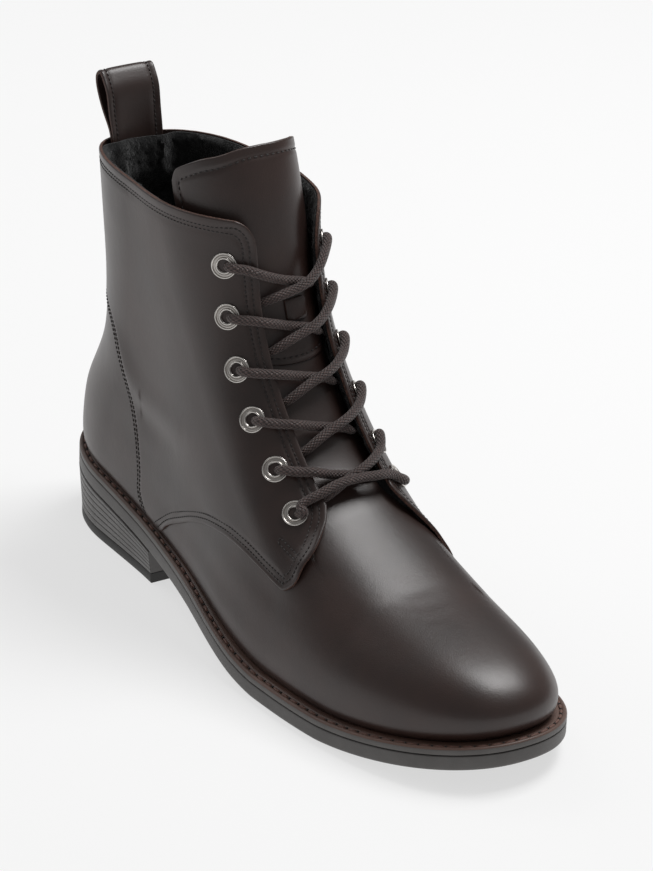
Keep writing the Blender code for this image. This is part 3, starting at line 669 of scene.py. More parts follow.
def sewn_rows(side):
    """Stitch paths of one quarter as v and r."""
    edges = quarter_outline(side)
    border = np.concatenate([surface(v, r) for v, r in edges])
    rows = []
    for (v, r), depths in zip(edges, (COUNTER_ROWS, VAMP_SEAM_ROWS, FRONT_ROWS)):
        v, r = even_rows(v, r, ROW_SPACING)
        on_collar = (v > COLLAR_ROWS_ABOVE) * (1 - smoothstep(*COLLAR_ROW_SIDES, girth_of(r)))
        for depth, collar_depth in zip(depths, COLLAR_ROWS):
            depth = depth + (collar_depth - depth) * on_collar
            path_v, path_r = inset_path(v, r, depth, -side)
            keep = nearest(surface(path_v, path_r), border) > ROW_CLEARANCE * depth
            keep &= path_v > LOWEST_STITCH
            rows.append((path_v[keep], path_r[keep]))
    tack_v, tack_q = columns(BAR_TACK)
    rows.append(even_rows(tack_v, placed(side * tack_q), TACK_SPACING))
    return rows


SIDES = (-1, 1)
quarter_paths = [row for side in SIDES for row in sewn_rows(side)]
edge_points = np.concatenate([surface(v, r) for side in SIDES for v, r in quarter_outline(side)])
facing_points = np.concatenate([surface(*quarter_outline(side)[2]) for side in SIDES])
row_points = np.concatenate([surface(*even_rows(v, r, GROOVE_SPACING)) for v, r in quarter_paths])
# Columns: from girth, to girth, points
GIRTH_BANDS = [
    (0.0, 0.20, 24), (0.20, 0.245, 16), (0.245, 0.300, 46), (0.300, 0.350, 26), (0.350, 0.560, 38),
    (0.560, 0.862, 58),
]
NEAR_FACING = (0.024, 0.020, 0.016, 0.0125, 0.009, 0.006, 0.0038, 0.002, 0.0008, 0.0)
bands = [np.linspace(low, high, points)[:-1] for low, high, points in GIRTH_BANDS]
half_q = np.concatenate([*bands, FACING_GIRTH - np.array(NEAR_FACING)])
quarter_girth = np.concatenate([-half_q[:0:-1], half_q])
quarter_r = placed(quarter_girth)
NEAR_EDGE = [0.0, 0.12, 0.3, 0.55, 0.9, 1.4, 2.0, 2.8]
MIDDLE_ROWS = 66
quarter_foot = quarter_low(np.abs(quarter_girth))
v_grid = column_grid(quarter_r, quarter_foot, collar(quarter_girth), NEAR_EDGE, MIDDLE_ROWS)
r_grid = placed(swung(np.broadcast_to(quarter_girth, v_grid.shape), v_grid))
flat = surface(v_grid, r_grid)


def edge_roll(from_edge):
    """Drop of a rolled leather edge, by the distance from it."""
    return EDGE_ROLL - np.sqrt(EDGE_ROLL**2 - np.clip(EDGE_ROLL - from_edge, 0, EDGE_ROLL) ** 2)


def row_groove(distance):
    """Depth of the leather drawn in by a sewn row, by the distance from it."""
    return GROOVE_DEPTH * np.exp(-((distance / GROOVE_WIDTH) ** 2))


rolled = edge_roll(nearest(flat, edge_points))
groove = row_groove(nearest(flat, row_points))
at_front = smoothstep(*FACING_SIDES, np.abs(quarter_girth))
lift = facing_lift(v_grid, r_grid, nearest(flat, facing_points)) * at_front


def ankle_folds(points):
    """Height of the soft folds at the outer ankle."""
    total = np.zeros(len(points.reshape(-1, 3)))
    fade = np.sin(np.pi * np.linspace(*FOLD_ENDS, FOLD_POINTS)) ** FOLD_FADE
    for line, height, width in ANKLE_FOLDS:
        fold_v, fold_girth = smooth_line(line, FOLD_POINTS).T
        fold_tree = point_tree(surface(fold_v, -fold_girth))
        found = [fold_tree.find(p) for p in points.reshape(-1, 3)]
        total += [height * fade[f[1]] * np.exp(-((f[2] / width) ** 2)) for f in found]
    return total.reshape(points.shape[:-1])


quarter_rise = QUARTER_STEP + lift + ankle_folds(flat)
quarters = shell(
    "quarters",
    wall(v_grid, r_grid, quarter_rise - rolled - groove),
    wall(v_grid, r_grid, quarter_rise - LEATHER_THICKNESS),
    [leather, cut_edge],
)
dress(quarters, "upper_leather", "upper")


def geometry_tree(name, sizes, materials):
    """Empty geometry node tree with named inputs for sizes and materials."""
    tree = bpy.data.node_groups.new(name, "GeometryNodeTree")
    tree.interface.new_socket("Geometry", in_out="INPUT", socket_type="NodeSocketGeometry")
    for size in sizes:
        tree.interface.new_socket(size, in_out="INPUT", socket_type="NodeSocketFloat")
    for material in materials:
        tree.interface.new_socket(material, in_out="INPUT", socket_type="NodeSocketMaterial")
    tree.interface.new_socket("Geometry", in_out="OUTPUT", socket_type="NodeSocketGeometry")
    return tree


def stitch_tree():
    """Geometry nodes that lay short threads end to end along every path of a mesh."""
    tree = geometry_tree("sewn_rows", ("Pitch", "Length", "Width", "Height"), ("Thread",))

    def node(kind, **settings):
        made = tree.nodes.new(kind)
        for setting, value in settings.items():
            setattr(made, setting, value)
        return made

    def join(source, socket, target, into):
        tree.links.new(source.outputs[socket], target.inputs[into])

    given = node("NodeGroupInput")
    paths = node("GeometryNodeMeshToCurve")
    even = node("GeometryNodeResampleCurve", mode="LENGTH")
    thread = node("GeometryNodeMeshUVSphere")
    thread.inputs["Segments"].default_value = 6
    thread.inputs["Rings"].default_value = 5
    thread.inputs["Radius"].default_value = 0.5
    size = node("ShaderNodeCombineXYZ")
    shaped = node("GeometryNodeTransform")
    tangent = node("GeometryNodeInputTangent")
    out = node("GeometryNodeInputNamedAttribute", data_type="FLOAT_VECTOR")
    out.inputs["Name"].default_value = "out"
    along = node("FunctionNodeAlignRotationToVector", axis="X")
    upright = node("FunctionNodeAlignRotationToVector", axis="Z", pivot_axis="X")
    laid = node("GeometryNodeInstanceOnPoints")
    real = node("GeometryNodeRealizeInstances")
    coloured = node("GeometryNodeSetMaterial")
    result = node("NodeGroupOutput")
    join(given, "Geometry", paths, "Mesh")
    join(paths, "Curve", even, "Curve")
    join(given, "Pitch", even, "Length")
    for name, axis in (("Length", "X"), ("Width", "Y"), ("Height", "Z")):
        join(given, name, size, axis)
    join(thread, "Mesh", shaped, "Geometry")
    join(size, "Vector", shaped, "Scale")
    join(tangent, "Tangent", along, "Vector")
    join(along, "Rotation", upright, "Rotation")
    join(out, "Attribute", upright, "Vector")
    join(even, "Curve", laid, "Points")
    join(shaped, "Geometry", laid, "Instance")
    join(upright, "Rotation", laid, "Rotation")
    join(laid, "Instances", real, "Geometry")
    join(real, "Geometry", coloured, "Geometry")
    join(given, "Thread", coloured, "Material")
    join(coloured, "Geometry", result, "Geometry")
    return tree


sewing = stitch_tree()


def run_nodes(name, mesh, tree, values):
    """Runs a node tree on a mesh and keeps the result as a plain mesh object."""
    guide = bpy.data.objects.new(name + "_guide", mesh)
    bpy.context.scene.collection.objects.link(guide)
    modifier = guide.modifiers.new(name, "NODES")
    modifier.node_group = tree
    for item in tree.interface.items_tree:
        if item.in_out == "INPUT" and item.name in values:
            modifier[item.identifier] = values[item.name]
    bpy.context.view_layer.update()
    plain = bpy.data.meshes.new_from_object(guide.evaluated_get(bpy.context.evaluated_depsgraph_get()))
    bpy.data.objects.remove(guide, do_unlink=True)
    plain.name = name
    plain.shade_smooth()
    made = bpy.data.objects.new(name, plain)
    bpy.context.scene.collection.objects.link(made)
    return made


def sew(name, paths, thread, pitch=1.8, length=1.45, width=0.5, height=0.42):
    """Stitches along paths, each given as points and outward directions."""
    mesh = bpy.data.meshes.new(name)
    points, outs, edges = [], [], []
    for p, n in paths:
        edges += [(len(points) + i, len(points) + i + 1) for i in range(len(p) - 1)]
        points += ((p - MIDDLE) * MM).tolist()
        outs += n.tolist()
    mesh.from_pydata(points, edges, [])
    attribute = mesh.attributes.new("out", "FLOAT_VECTOR", "POINT")
    attribute.data.foreach_set("vector", np.ravel(outs))
    sizes = {"Pitch": pitch, "Length": length, "Width": width, "Height": height}
    values = {key: value * MM for key, value in sizes.items()}
    values["Thread"] = thread
    return run_nodes(name, mesh, sewing, values)


THREAD_SHADE = 0.5


def thread_finish(name, colour):
    """Twisted bonded thread: fine slanted lay, dull wax."""
    m, tree, shader = shader_material(name, colour, roughness=0.55, sheen_weight=0.15)
    lay = texture(tree, "ShaderNodeTexNoise", object_coordinates(tree), scale=4000.0, detail=2.0)
    bump(tree, shader, lay.outputs["Fac"], depth=0.0001)
    dark = tuple(THREAD_SHADE * c for c in colour)
    twist = ramp_colours(tree, lay.outputs["Fac"], dark, colour, span=(0.3, 0.7))
    tree.links.new(twist, shader.inputs["Base Color"])
    return m


THREAD_BROWN = (0.0150, 0.0096, 0.0082)
STITCH_SINK = 0.16
dark_thread = thread_finish("dark_brown_thread", THREAD_BROWN)


def quarter_level(v, r):
    """Height of the quarter's leather along a stitch path."""
    flat = surface(v, r)
    lift = facing_lift(v, r, nearest(flat, facing_points)) * smoothstep(*FACING_SIDES, girth_of(r))
    return QUARTER_STEP + lift + ankle_folds(flat) - STITCH_SINK


stitch_paths = [(wall(v, r, quarter_level(v, r)), outward(v, r)) for v, r in quarter_paths]
dress(sew("quarter_stitches", stitch_paths, dark_thread), "lace_cord")

# Lining: black fleece glued inside the quarters and the counter up to just under the collar's cut edge,
# turned in at the facings. It is a thick soft pile, thinner behind the facings where the lace runs.
LINING_BELOW_COLLAR = 0.003
FLEECE_SEED = 7
rng = np.random.default_rng(FLEECE_SEED)
LINING_GRID = (110, 240)
LINING_FOOT = 0.045
LINING_FROM_FACING = 0.004
LINING_DEPTH = 1.45
QUARTER_ROOM = 1.15
QUARTER_ROOM_RISE = 0.05
LOOP_BULGE = 4.8
LOOP_MIDDLE_Y = -2.6
LOOP_SIDES = (12.8, 19.0)
LOOP_HEIGHTS = (138.0, 147.0)
LOOP_BEHIND_X = 30
PILE = 2.2
PILE_THINNED = 1.1
PILE_SIDES = (0.55, 0.75)
PILE_EDGE = 0.012
PILE_LEAST = 0.12
TUFT = 0.35
TUFT_FROM_PILE = 0.8
FLEECE_BLACK = (0.0045, 0.0045, 0.0047)
FLEECE_DARK = (0.0012, 0.0012, 0.0013)
FLEECE_PALE = (0.0095, 0.0094, 0.0097)
lining_reach = FACING_GIRTH - LINING_FROM_FACING
lining_girth = np.linspace(-lining_reach, lining_reach, LINING_GRID[1])
lining_rise = collar(lining_girth) - LINING_BELOW_COLLAR - LINING_FOOT
v_grid = LINING_FOOT + np.linspace(0, 1, LINING_GRID[0])[:, None] * lining_rise
g_grid = np.broadcast_to(lining_girth, v_grid.shape)
r_grid = placed(swung(g_grid, v_grid))
flat = surface(v_grid, r_grid)
behind = smoothstep(0.0, QUARTER_ROOM_RISE, v_grid - quarter_low(np.abs(g_grid)))
lift = facing_lift(v_grid, r_grid, nearest(flat, facing_points)) * smoothstep(*FACING_SIDES, np.abs(g_grid))
at_loop = 1 - smoothstep(*LOOP_SIDES, np.abs(flat[..., 1] - LOOP_MIDDLE_Y))
at_loop = at_loop * smoothstep(*LOOP_HEIGHTS, flat[..., 2]) * (flat[..., 0] < LOOP_BEHIND_X)
outer = -LINING_DEPTH - vamp_sink(v_grid, from_front(r_grid)) * (1 - behind)
outer = outer + QUARTER_ROOM * behind + lift * behind - LOOP_BULGE * at_loop
pile = PILE - PILE_THINNED * smoothstep(*PILE_SIDES, np.abs(g_grid))
pile *= np.sqrt(np.clip((collar(g_grid) - LINING_BELOW_COLLAR - v_grid) / PILE_EDGE, PILE_LEAST, 1))
tuft = TUFT * rng.normal(size=v_grid.shape) * (pile > TUFT_FROM_PILE)
fleece, tree, shader = shader_material(
    "black_fleece", FLEECE_BLACK, roughness=0.95, sheen_weight=0.25, sheen_roughness=0.5
)
shader.inputs["Specular IOR Level"].default_value = 0.15
where = object_coordinates(tree)
tufts = texture(tree, "ShaderNodeTexNoise", where, scale=420.0, detail=6.0, roughness=0.7)
tuft_colours = ramp_colours(tree, tufts.outputs["Fac"], FLEECE_DARK, FLEECE_PALE, span=(0.35, 0.7))
tree.links.new(tuft_colours, shader.inputs["Base Color"])
bump(tree, shader, tufts.outputs["Fac"], depth=0.0012)
lining_faces = [wall(v_grid, r_grid, face) for face in (outer, outer - pile + tuft)]
lining = shell("fleece_lining", *lining_faces, [fleece])
dress(lining, "lining_cloth")

# Tongue: upper leaf of the same leather, sewn over the lower tongue with one row and turned slightly in
# towards the leg. A row of stitches follows its rounded top, and fleece backs it.

# Columns: across, v
TONGUE_TOP = [
    (0.0, 1.152), (0.2, 1.148), (0.36, 1.140), (0.53, 1.127), (0.69, 1.110), (0.80, 1.093), (0.914, 1.072),
    (0.97, 1.055), (1.0, 1.035),
]
# Columns: v, girth
TONGUE_HALF = [(0.43, 0.30), (0.60, 0.36), (0.80, 0.40), (1.00, 0.452), (1.20, 0.455)]
TONGUE_LATERAL_DROP = 0.012
TONGUE_LATERAL_REACH = 0.010
TONGUE_ROW_IN = 4.6
TONGUE_ROW_CLEARANCE = 0.9
TONGUE_SEAM_ROW = 0.012
TONGUE_SEAM_REACH = (0.74, 1.20)
TONGUE_SEAM_POINTS = 80
TONGUE_COLUMNS = 121
TONGUE_TOP_POINTS = 200
TONGUE_DROP_SIDES = (0.10, 0.60)
TONGUE_FIRST_ROWS = (0, 0.0012, 0.003, 0.006, 0.010, 0.016)
TONGUE_EVEN_ROWS = np.linspace(0.024, 1, 96)[:-1]
TONGUE_LAST_ROWS = (0.012, 0.008, 0.005, 0.003, 0.0012, 0.0)
TONGUE_ROW_SHARE = 0.985
TONGUE_SEWN_FROM = 60
TONGUE_EDGE_SPACING = 0.2
TONGUE_ROW_SPACING = 1.0
TONGUE_PILE = 1.7
TONGUE_PILE_GAP = 0.05
TONGUE_PILE_TAPER = 3.0
TONGUE_PILE_LEAST = 0.15
TONGUE_TUFT = 0.2
TONGUE_TUFT_FROM = 0.6


def tongue_depth(v):
    """How far the tongue's face lies inside the form."""
    return Curve(*columns(TONGUE_INSET))(v)


def grid_border(grid):
    """Values round a grid: first row, last column, last row and first column."""
    return np.concatenate([grid[0], grid[:, -1], grid[-1, ::-1], grid[::-1, 0]])


def sewn_rim(grid):
    """Values up one side of the tongue's grid, over its top and down the other side."""
    upper = grid[TONGUE_SEWN_FROM:]
    return np.concatenate([upper[:, 0], grid[-1], upper[::-1, -1]])


across = np.sin(np.linspace(-1, 1, TONGUE_COLUMNS) * np.pi / 2)
top_line = smooth_line(TONGUE_TOP, TONGUE_TOP_POINTS)
tongue_top = np.interp(np.abs(across), top_line[:, 0], top_line[:, 1])
tongue_top -= TONGUE_LATERAL_DROP * smoothstep(*TONGUE_DROP_SIDES, across)
tongue_rows = np.concatenate([TONGUE_FIRST_ROWS, TONGUE_EVEN_ROWS]) * TONGUE_ROW_SHARE
tongue_rows = np.concatenate([tongue_rows, 1 - np.array(TONGUE_LAST_ROWS)])
v_grid = TONGUE_SEAM + tongue_rows[:, None] * (tongue_top - TONGUE_SEAM)
r_grid = 1.0 + across * (np.interp(v_grid, *columns(TONGUE_HALF)) + TONGUE_LATERAL_REACH * (across > 0))
flat = surface(v_grid, r_grid)
tongue_edge = surface(*even_rows(grid_border(v_grid), grid_border(r_grid), TONGUE_EDGE_SPACING))
from_edge = nearest(flat, tongue_edge)
rim_v, rim_r = even_rows(sewn_rim(v_grid), sewn_rim(r_grid), TONGUE_ROW_SPACING)
row_v, row_r = inset_path(rim_v, rim_r, TONGUE_ROW_IN, 1)
kept = nearest(surface(row_v, row_r), tongue_edge) > TONGUE_ROW_CLEARANCE * TONGUE_ROW_IN
seam_v = np.full(TONGUE_SEAM_POINTS, TONGUE_SEAM + TONGUE_SEAM_ROW)
seam_r = np.linspace(*TONGUE_SEAM_REACH, TONGUE_SEAM_POINTS)
tongue_paths = [(row_v[kept], row_r[kept]), (seam_v, seam_r)]
row_points = np.concatenate([surface(*even_rows(v, r, GROOVE_SPACING)) for v, r in tongue_paths])
rolled = edge_roll(from_edge)
groove = row_groove(nearest(flat, row_points))
tongue_offset = -tongue_depth(v_grid)
tongue = shell(
    "tongue",
    wall(v_grid, r_grid, tongue_offset - rolled - groove),
    wall(v_grid, r_grid, tongue_offset - LEATHER_THICKNESS),
    [leather, cut_edge],
)
dress(tongue, "upper_leather", "tongue")
stitch_paths = [(wall(v, r, -tongue_depth(v) - STITCH_SINK), outward(v, r)) for v, r in tongue_paths]
dress(sew("tongue_stitches", stitch_paths, dark_thread, pitch=2.5, length=1.6, width=0.6), "lace_cord")
taper = np.clip(from_edge / TONGUE_PILE_TAPER, TONGUE_PILE_LEAST, 1)
tuft = TONGUE_TUFT * rng.normal(size=v_grid.shape) * (taper > TONGUE_TUFT_FROM)
back_offset = tongue_offset - LEATHER_THICKNESS - TONGUE_PILE_GAP
tongue_lining = shell(
    "tongue_lining",
    wall(v_grid, r_grid, back_offset),
    wall(v_grid, r_grid, back_offset - TONGUE_PILE * taper + tuft),
    [fleece],
)
dress(tongue_lining, "lining_cloth")

# Lace keeper: a small bridge of leather on the tongue, between two slits. It stands up enough for the lace
# to pass under it and keeps the lace in line. Its outer end is rounded.
KEEPER_V = (0.790, 0.830)
KEEPER_R = (0.890, 1.000)
KEEPER_GRID = (21, 31)
KEEPER_ROUND = 0.45
KEEPER_ABOVE_TONGUE = 0.2
KEEPER_ARCH = 1.1
KEEPER_EDGE_DROP = 0.35
KEEPER_FACES = (0.6, -0.5)
share = np.linspace(-1, 1, KEEPER_GRID[1])
edge = np.linspace(-1, 1, KEEPER_GRID[0])[:, None]
round_end = 1 - KEEPER_ROUND * np.clip((KEEPER_ROUND - 1 - share) / KEEPER_ROUND, 0, 1) ** 2
v_grid = np.mean(KEEPER_V) + 0.5 * (KEEPER_V[1] - KEEPER_V[0]) * edge * round_end
r_grid = np.broadcast_to(np.linspace(*KEEPER_R, KEEPER_GRID[1]), v_grid.shape)
arch = KEEPER_ARCH * (1 - share**4) - KEEPER_EDGE_DROP * edge**6
keeper_offset = -tongue_depth(v_grid) + KEEPER_ABOVE_TONGUE + arch
keeper_faces = [wall(v_grid, r_grid, keeper_offset + face) for face in KEEPER_FACES]
keeper = shell("lace_keeper", *keeper_faces, [leather, cut_edge])
dress(keeper, "upper_leather", "tongue_keeper")

# Eyelets: pressed nickel rings with a raised outer bead, a flat and a raised bead round the hole. Their
# barrels go through the quarters and are rolled over inside.

# Columns: v, girth
EYELETS = [(0.902, 0.772), (0.797, 0.747), (0.694, 0.729), (0.604, 0.727), (0.523, 0.749), (0.451, 0.754)]
INNER_EYELETS_BACK = (0.010, 0.010, 0.010, 0.010, 0.014, 0.054)
INNER_EYELETS_UP = (-0.004, -0.002, 0.0, -0.002, -0.002, 0.004)
EYELET_RADIUS = 5.0
EYELET_HOLE = 2.5
OUTER_BEAD = 0.34
INNER_BEAD = 0.36
BARREL_LENGTH = 3.0
RING_STEPS = 40
BEAD_STEPS = 10
OUTER_SEAT = 0.9
INNER_SEAT = 1.3
FLAT_SEAT = 0.4
BARREL_WALL = 0.8
BARREL_SEAT = -0.45
EYELET_RAISED = 0.12
DULLER = 0.07
BRIGHTER = 0.05


def tree_math(tree, operation, a, b):
    """Math node between a socket or value and another one."""
    node = tree.nodes.new("ShaderNodeMath")
    node.operation = operation
    for socket, value in zip(node.inputs, (a, b)):
        if isinstance(value, float):
            socket.default_value = value
        else:
            tree.links.new(value, socket)
    return node.outputs["Value"]


def eyelet_tree():
    """Geometry nodes that set a beaded ring on every point, facing the point's outward direction."""
    sizes = ("Radius", "Hole", "Outer Bead", "Inner Bead", "Barrel")
    tree = geometry_tree("set_eyelets", sizes, ("Bead Metal", "Flat Metal"))
    links = tree.links
    given = tree.nodes.new("NodeGroupInput")
    rings = tree.nodes.new("GeometryNodeJoinGeometry")

    def math(operation, a, b):
        return tree_math(tree, operation, a, b)

    def circle(radius, steps):
        made = tree.nodes.new("GeometryNodeCurvePrimitiveCircle")
        made.inputs["Resolution"].default_value = steps
        links.new(radius, made.inputs["Radius"])
        return made.outputs["Curve"]

    def ring(radius, profile, height, flat=False):
        swept = tree.nodes.new("GeometryNodeCurveToMesh")
        links.new(circle(radius, RING_STEPS), swept.inputs["Curve"])
        links.new(profile, swept.inputs["Profile Curve"])
        moved = tree.nodes.new("GeometryNodeTransform")
        place = tree.nodes.new("ShaderNodeCombineXYZ")
        links.new(height, place.inputs["Z"])
        links.new(swept.outputs["Mesh"], moved.inputs["Geometry"])
        links.new(place.outputs["Vector"], moved.inputs["Translation"])
        marked = tree.nodes.new("GeometryNodeStoreNamedAttribute")
        marked.data_type = "BOOLEAN"
        marked.domain = "FACE"
        marked.inputs["Name"].default_value = "flat"
        marked.inputs["Value"].default_value = flat
        links.new(moved.outputs["Geometry"], marked.inputs["Geometry"])
        links.new(marked.outputs["Geometry"], rings.inputs["Geometry"])

    def plate(width, height):
        made = tree.nodes.new("GeometryNodeCurvePrimitiveQuadrilateral")
        links.new(width, made.inputs["Width"])
        links.new(height, made.inputs["Height"])
        return made.outputs["Curve"]

    radius, hole = given.outputs["Radius"], given.outputs["Hole"]
    outer, inner, barrel = (given.outputs[n] for n in ("Outer Bead", "Inner Bead", "Barrel"))
    ring(math("SUBTRACT", radius, outer), circle(outer, BEAD_STEPS), math("MULTIPLY", outer, OUTER_SEAT))
    ring(math("ADD", hole, inner), circle(inner, BEAD_STEPS), math("MULTIPLY", inner, INNER_SEAT))
    middle = math("MULTIPLY", math("ADD", radius, hole), 0.5)
    flat_width = math("SUBTRACT", math("SUBTRACT", radius, hole), outer)
    ring(middle, plate(flat_width, outer), math("MULTIPLY", outer, FLAT_SEAT), True)
    wall_ring = math("ADD", hole, math("MULTIPLY", inner, 0.5))
    barrel_wall = plate(math("MULTIPLY", inner, BARREL_WALL), barrel)
    ring(wall_ring, barrel_wall, math("MULTIPLY", barrel, BARREL_SEAT))
    out = tree.nodes.new("GeometryNodeInputNamedAttribute")
    out.data_type = "FLOAT_VECTOR"
    out.inputs["Name"].default_value = "out"
    upright = tree.nodes.new("FunctionNodeAlignRotationToVector")
    upright.axis = "Z"
    laid = tree.nodes.new("GeometryNodeInstanceOnPoints")
    real = tree.nodes.new("GeometryNodeRealizeInstances")
    coloured = tree.nodes.new("GeometryNodeSetMaterial")
    dulled = tree.nodes.new("GeometryNodeSetMaterial")
    flats = tree.nodes.new("GeometryNodeInputNamedAttribute")
    flats.data_type = "BOOLEAN"
    flats.inputs["Name"].default_value = "flat"
    result = tree.nodes.new("NodeGroupOutput")
    links.new(out.outputs["Attribute"], upright.inputs["Vector"])
    links.new(given.outputs["Geometry"], laid.inputs["Points"])
    links.new(rings.outputs["Geometry"], laid.inputs["Instance"])
    links.new(upright.outputs["Rotation"], laid.inputs["Rotation"])
    links.new(laid.outputs["Instances"], real.inputs["Geometry"])
    links.new(real.outputs["Geometry"], coloured.inputs["Geometry"])
    links.new(given.outputs["Bead Metal"], coloured.inputs["Material"])
    links.new(coloured.outputs["Geometry"], dulled.inputs["Geometry"])
    links.new(flats.outputs["Attribute"], dulled.inputs["Selection"])
    links.new(given.outputs["Flat Metal"], dulled.inputs["Material"])
    links.new(dulled.outputs["Geometry"], result.inputs["Geometry"])
    return tree


def nickel_finish(name, colour, gloss):
    """Nickel plate with a faint uneven wear."""
    m, tree, shader = shader_material(name, colour, gloss, metallic=1.0)
    wear = texture(tree, "ShaderNodeTexNoise", object_coordinates(tree), scale=500.0, detail=3.0)
    worn = map_range(tree, wear.outputs["Fac"], gloss - BRIGHTER, gloss + DULLER)
    tree.links.new(worn, shader.inputs["Roughness"])
    return m


# The flat ring's nickel is rougher, which is real, and darker than the beads', which is painted shade.
BRIGHT_NICKEL = (0.62, 0.59, 0.56)
DULL_NICKEL_PAINTED_SHADE = (0.43, 0.405, 0.38)
bead_nickel = nickel_finish("bright_nickel", BRIGHT_NICKEL, gloss=0.20)
flat_nickel_painted_shade = nickel_finish("dull_nickel_painted_shade", DULL_NICKEL_PAINTED_SHADE, gloss=0.34)
eyelet_v, eyelet_q = columns(EYELETS)
seat_v = np.concatenate([eyelet_v, eyelet_v + INNER_EYELETS_UP])
seat_r = placed(np.concatenate([-eyelet_q, eyelet_q - np.array(INNER_EYELETS_BACK)]))
seat_out = outward(seat_v, seat_r)
seats = bpy.data.meshes.new("eyelet_seats")
seats.from_pydata(((wall(seat_v, seat_r, QUARTER_STEP + EYELET_RAISED) - MIDDLE) * MM).tolist(), [], [])
seats.attributes.new("out", "FLOAT_VECTOR", "POINT").data.foreach_set("vector", seat_out.ravel())
sizes = {
    "Radius": EYELET_RADIUS, "Hole": EYELET_HOLE, "Outer Bead": OUTER_BEAD, "Inner Bead": INNER_BEAD,
    "Barrel": BARREL_LENGTH,
}
eyelet_values = {key: value * MM for key, value in sizes.items()}
eyelet_values.update({"Bead Metal": bead_nickel, "Flat Metal": flat_nickel_painted_shade})
eyelets = run_nodes("eyelets", seats, eyelet_tree(), eyelet_values)
eyelet_numbers = range(1, len(EYELETS) + 1)
eyelet_nodes = [f"eyelet_{side}_{number}" for side in ("lateral", "medial") for number in eyelet_numbers]
dress(eyelets, "eyelet_metal", *eyelet_nodes)

# Lace: one round cord of braided waxed cotton. It starts behind the top eyelet of the outer side, crosses
# down through every other eyelet, makes the bar over the lowest pair and comes back up the other way.
LACE_RADIUS = 1.85
LACE_SIDES = 20
LACE_STEP = 0.6
LACE_FIRST_SIDE = (0.3, 0.5, 0.8)
LACE_BROWN = (0.030, 0.017, 0.015)
# Dark end of the braid's colour: dark fibres and painted shade in the grooves of the weave.
LACE_DARK_FIBRE_AND_GROOVE_SHADE = (0.0120, 0.0058, 0.0050)
LACE_PALE = (0.105, 0.061, 0.053)
BRAID_CELLS = 9
BRAID_LENGTH = 1.7
ROW_SAG = (0.27, 0.12, 0.03, 0.0, 0.0)
# Columns: drop, from front, offset, radius, sag
UNDER_STRAND = [
    (-0.02, -0.160, 3.5, 1.0, 0.1), (-0.02, -0.112, 3.7, 1.0, 0.35), (-0.02, -0.055, 0.9, 1.0, 0.8),
    (0.05, 0.010, -0.5, 1.0, 1.0), (0.14, 0.070, -0.9, 1.0, 1.0), (0.26, 0.125, -1.4, 0.95, 0.95),
    (0.38, 0.170, -2.3, 0.7, 0.8), (0.46, 0.215, -2.4, 0.42, 0.7),
]
OVER_STRAND = [
    (-0.02, 0.210, 3.7, 1.0, 0.0), (0.01, 0.166, 3.9, 1.0, 0.3), (0.05, 0.120, 3.8, 1.0, 0.8),
    (0.11, 0.060, 3.4, 1.0, 1.15), (0.18, 0.010, 1.9, 1.0, 1.2), (0.33, -0.045, 0.3, 1.0, 0.95),
    (0.47, -0.100, -1.5, 0.9, 0.75), (0.57, -0.150, -2.4, 0.42, 0.6),
]
# Columns: from hole, rise, offset, radius
OUTER_HOLE = [
    (0.002, 0.0, -2.5, 0.42), (-0.004, 0.0, -1.6, 0.8), (-0.009, 0.0, 0.3, 0.9),
    (-0.020, 0.0, 2.4, 0.97), (-0.033, 0.0, 3.5, 1.0),
]
INNER_HOLE = [
    (0.010, 0.0, -2.5, 0.42), (0.000, 0.0, -1.6, 0.8), (0.000, 0.004, 0.5, 0.92),
    (-0.004, 0.010, 2.2, 0.97), (-0.018, 0.014, 3.2, 1.0),
]
LOWEST_HOLE_RISE = -0.5
# Columns: v, from front, offset, radius
BAR = [
    (0.460, -0.216, 3.4, 1.0), (0.473, -0.186, 3.4, 1.0), (0.486, -0.128, 3.9, 1.0),
    (0.500, -0.050, 4.4, 1.0), (0.503, 0.000, 4.4, 1.0), (0.501, 0.060, 4.0, 1.0),
    (0.495, 0.110, 4.3, 1.0), (0.488, 0.165, 4.2, 1.0), (0.474, 0.222, 3.6, 1.0),
]


def hole_rows(number, side):
    """Way of the lace out of an eyelet, as v, share from the front, offset and radius. On the hidden side
    it comes out upwards, and at the lowest eyelet downwards."""
    v, girth = EYELETS[number]
    hole = OUTER_HOLE if side < 0 else INNER_HOLE
    if side > 0:
        v += INNER_EYELETS_UP[number]
        girth -= INNER_EYELETS_BACK[number]
    middle = 1 - abs(float(placed(side * girth)))
    way = LOWEST_HOLE_RISE if number == len(EYELETS) - 1 else 1.0
    return [(v + way * rise, side * (middle + share), offset, size) for share, rise, offset, size in hole]


def strand_rows(number, side):
    """Way of one strand from its eyelet over its facing and under the other one."""
    v = EYELETS[number][0]
    drop = v - EYELETS[number + 1][0]
    table = UNDER_STRAND if side < 0 else OVER_STRAND
    rows = hole_rows(number, side)
    for share, f, offset, size, sag in table:
        rows.append((v - (share + sag * ROW_SAG[number]) * drop, f, offset, size))
    return rows


def lacing(side):
    """Strands from a top eyelet down to the lowest row."""
    rows = []
    lowest = len(EYELETS) - 1
    for number in range(lowest):
        rows += strand_rows(number, side)
        side = -side
    return rows + hole_rows(lowest, side)


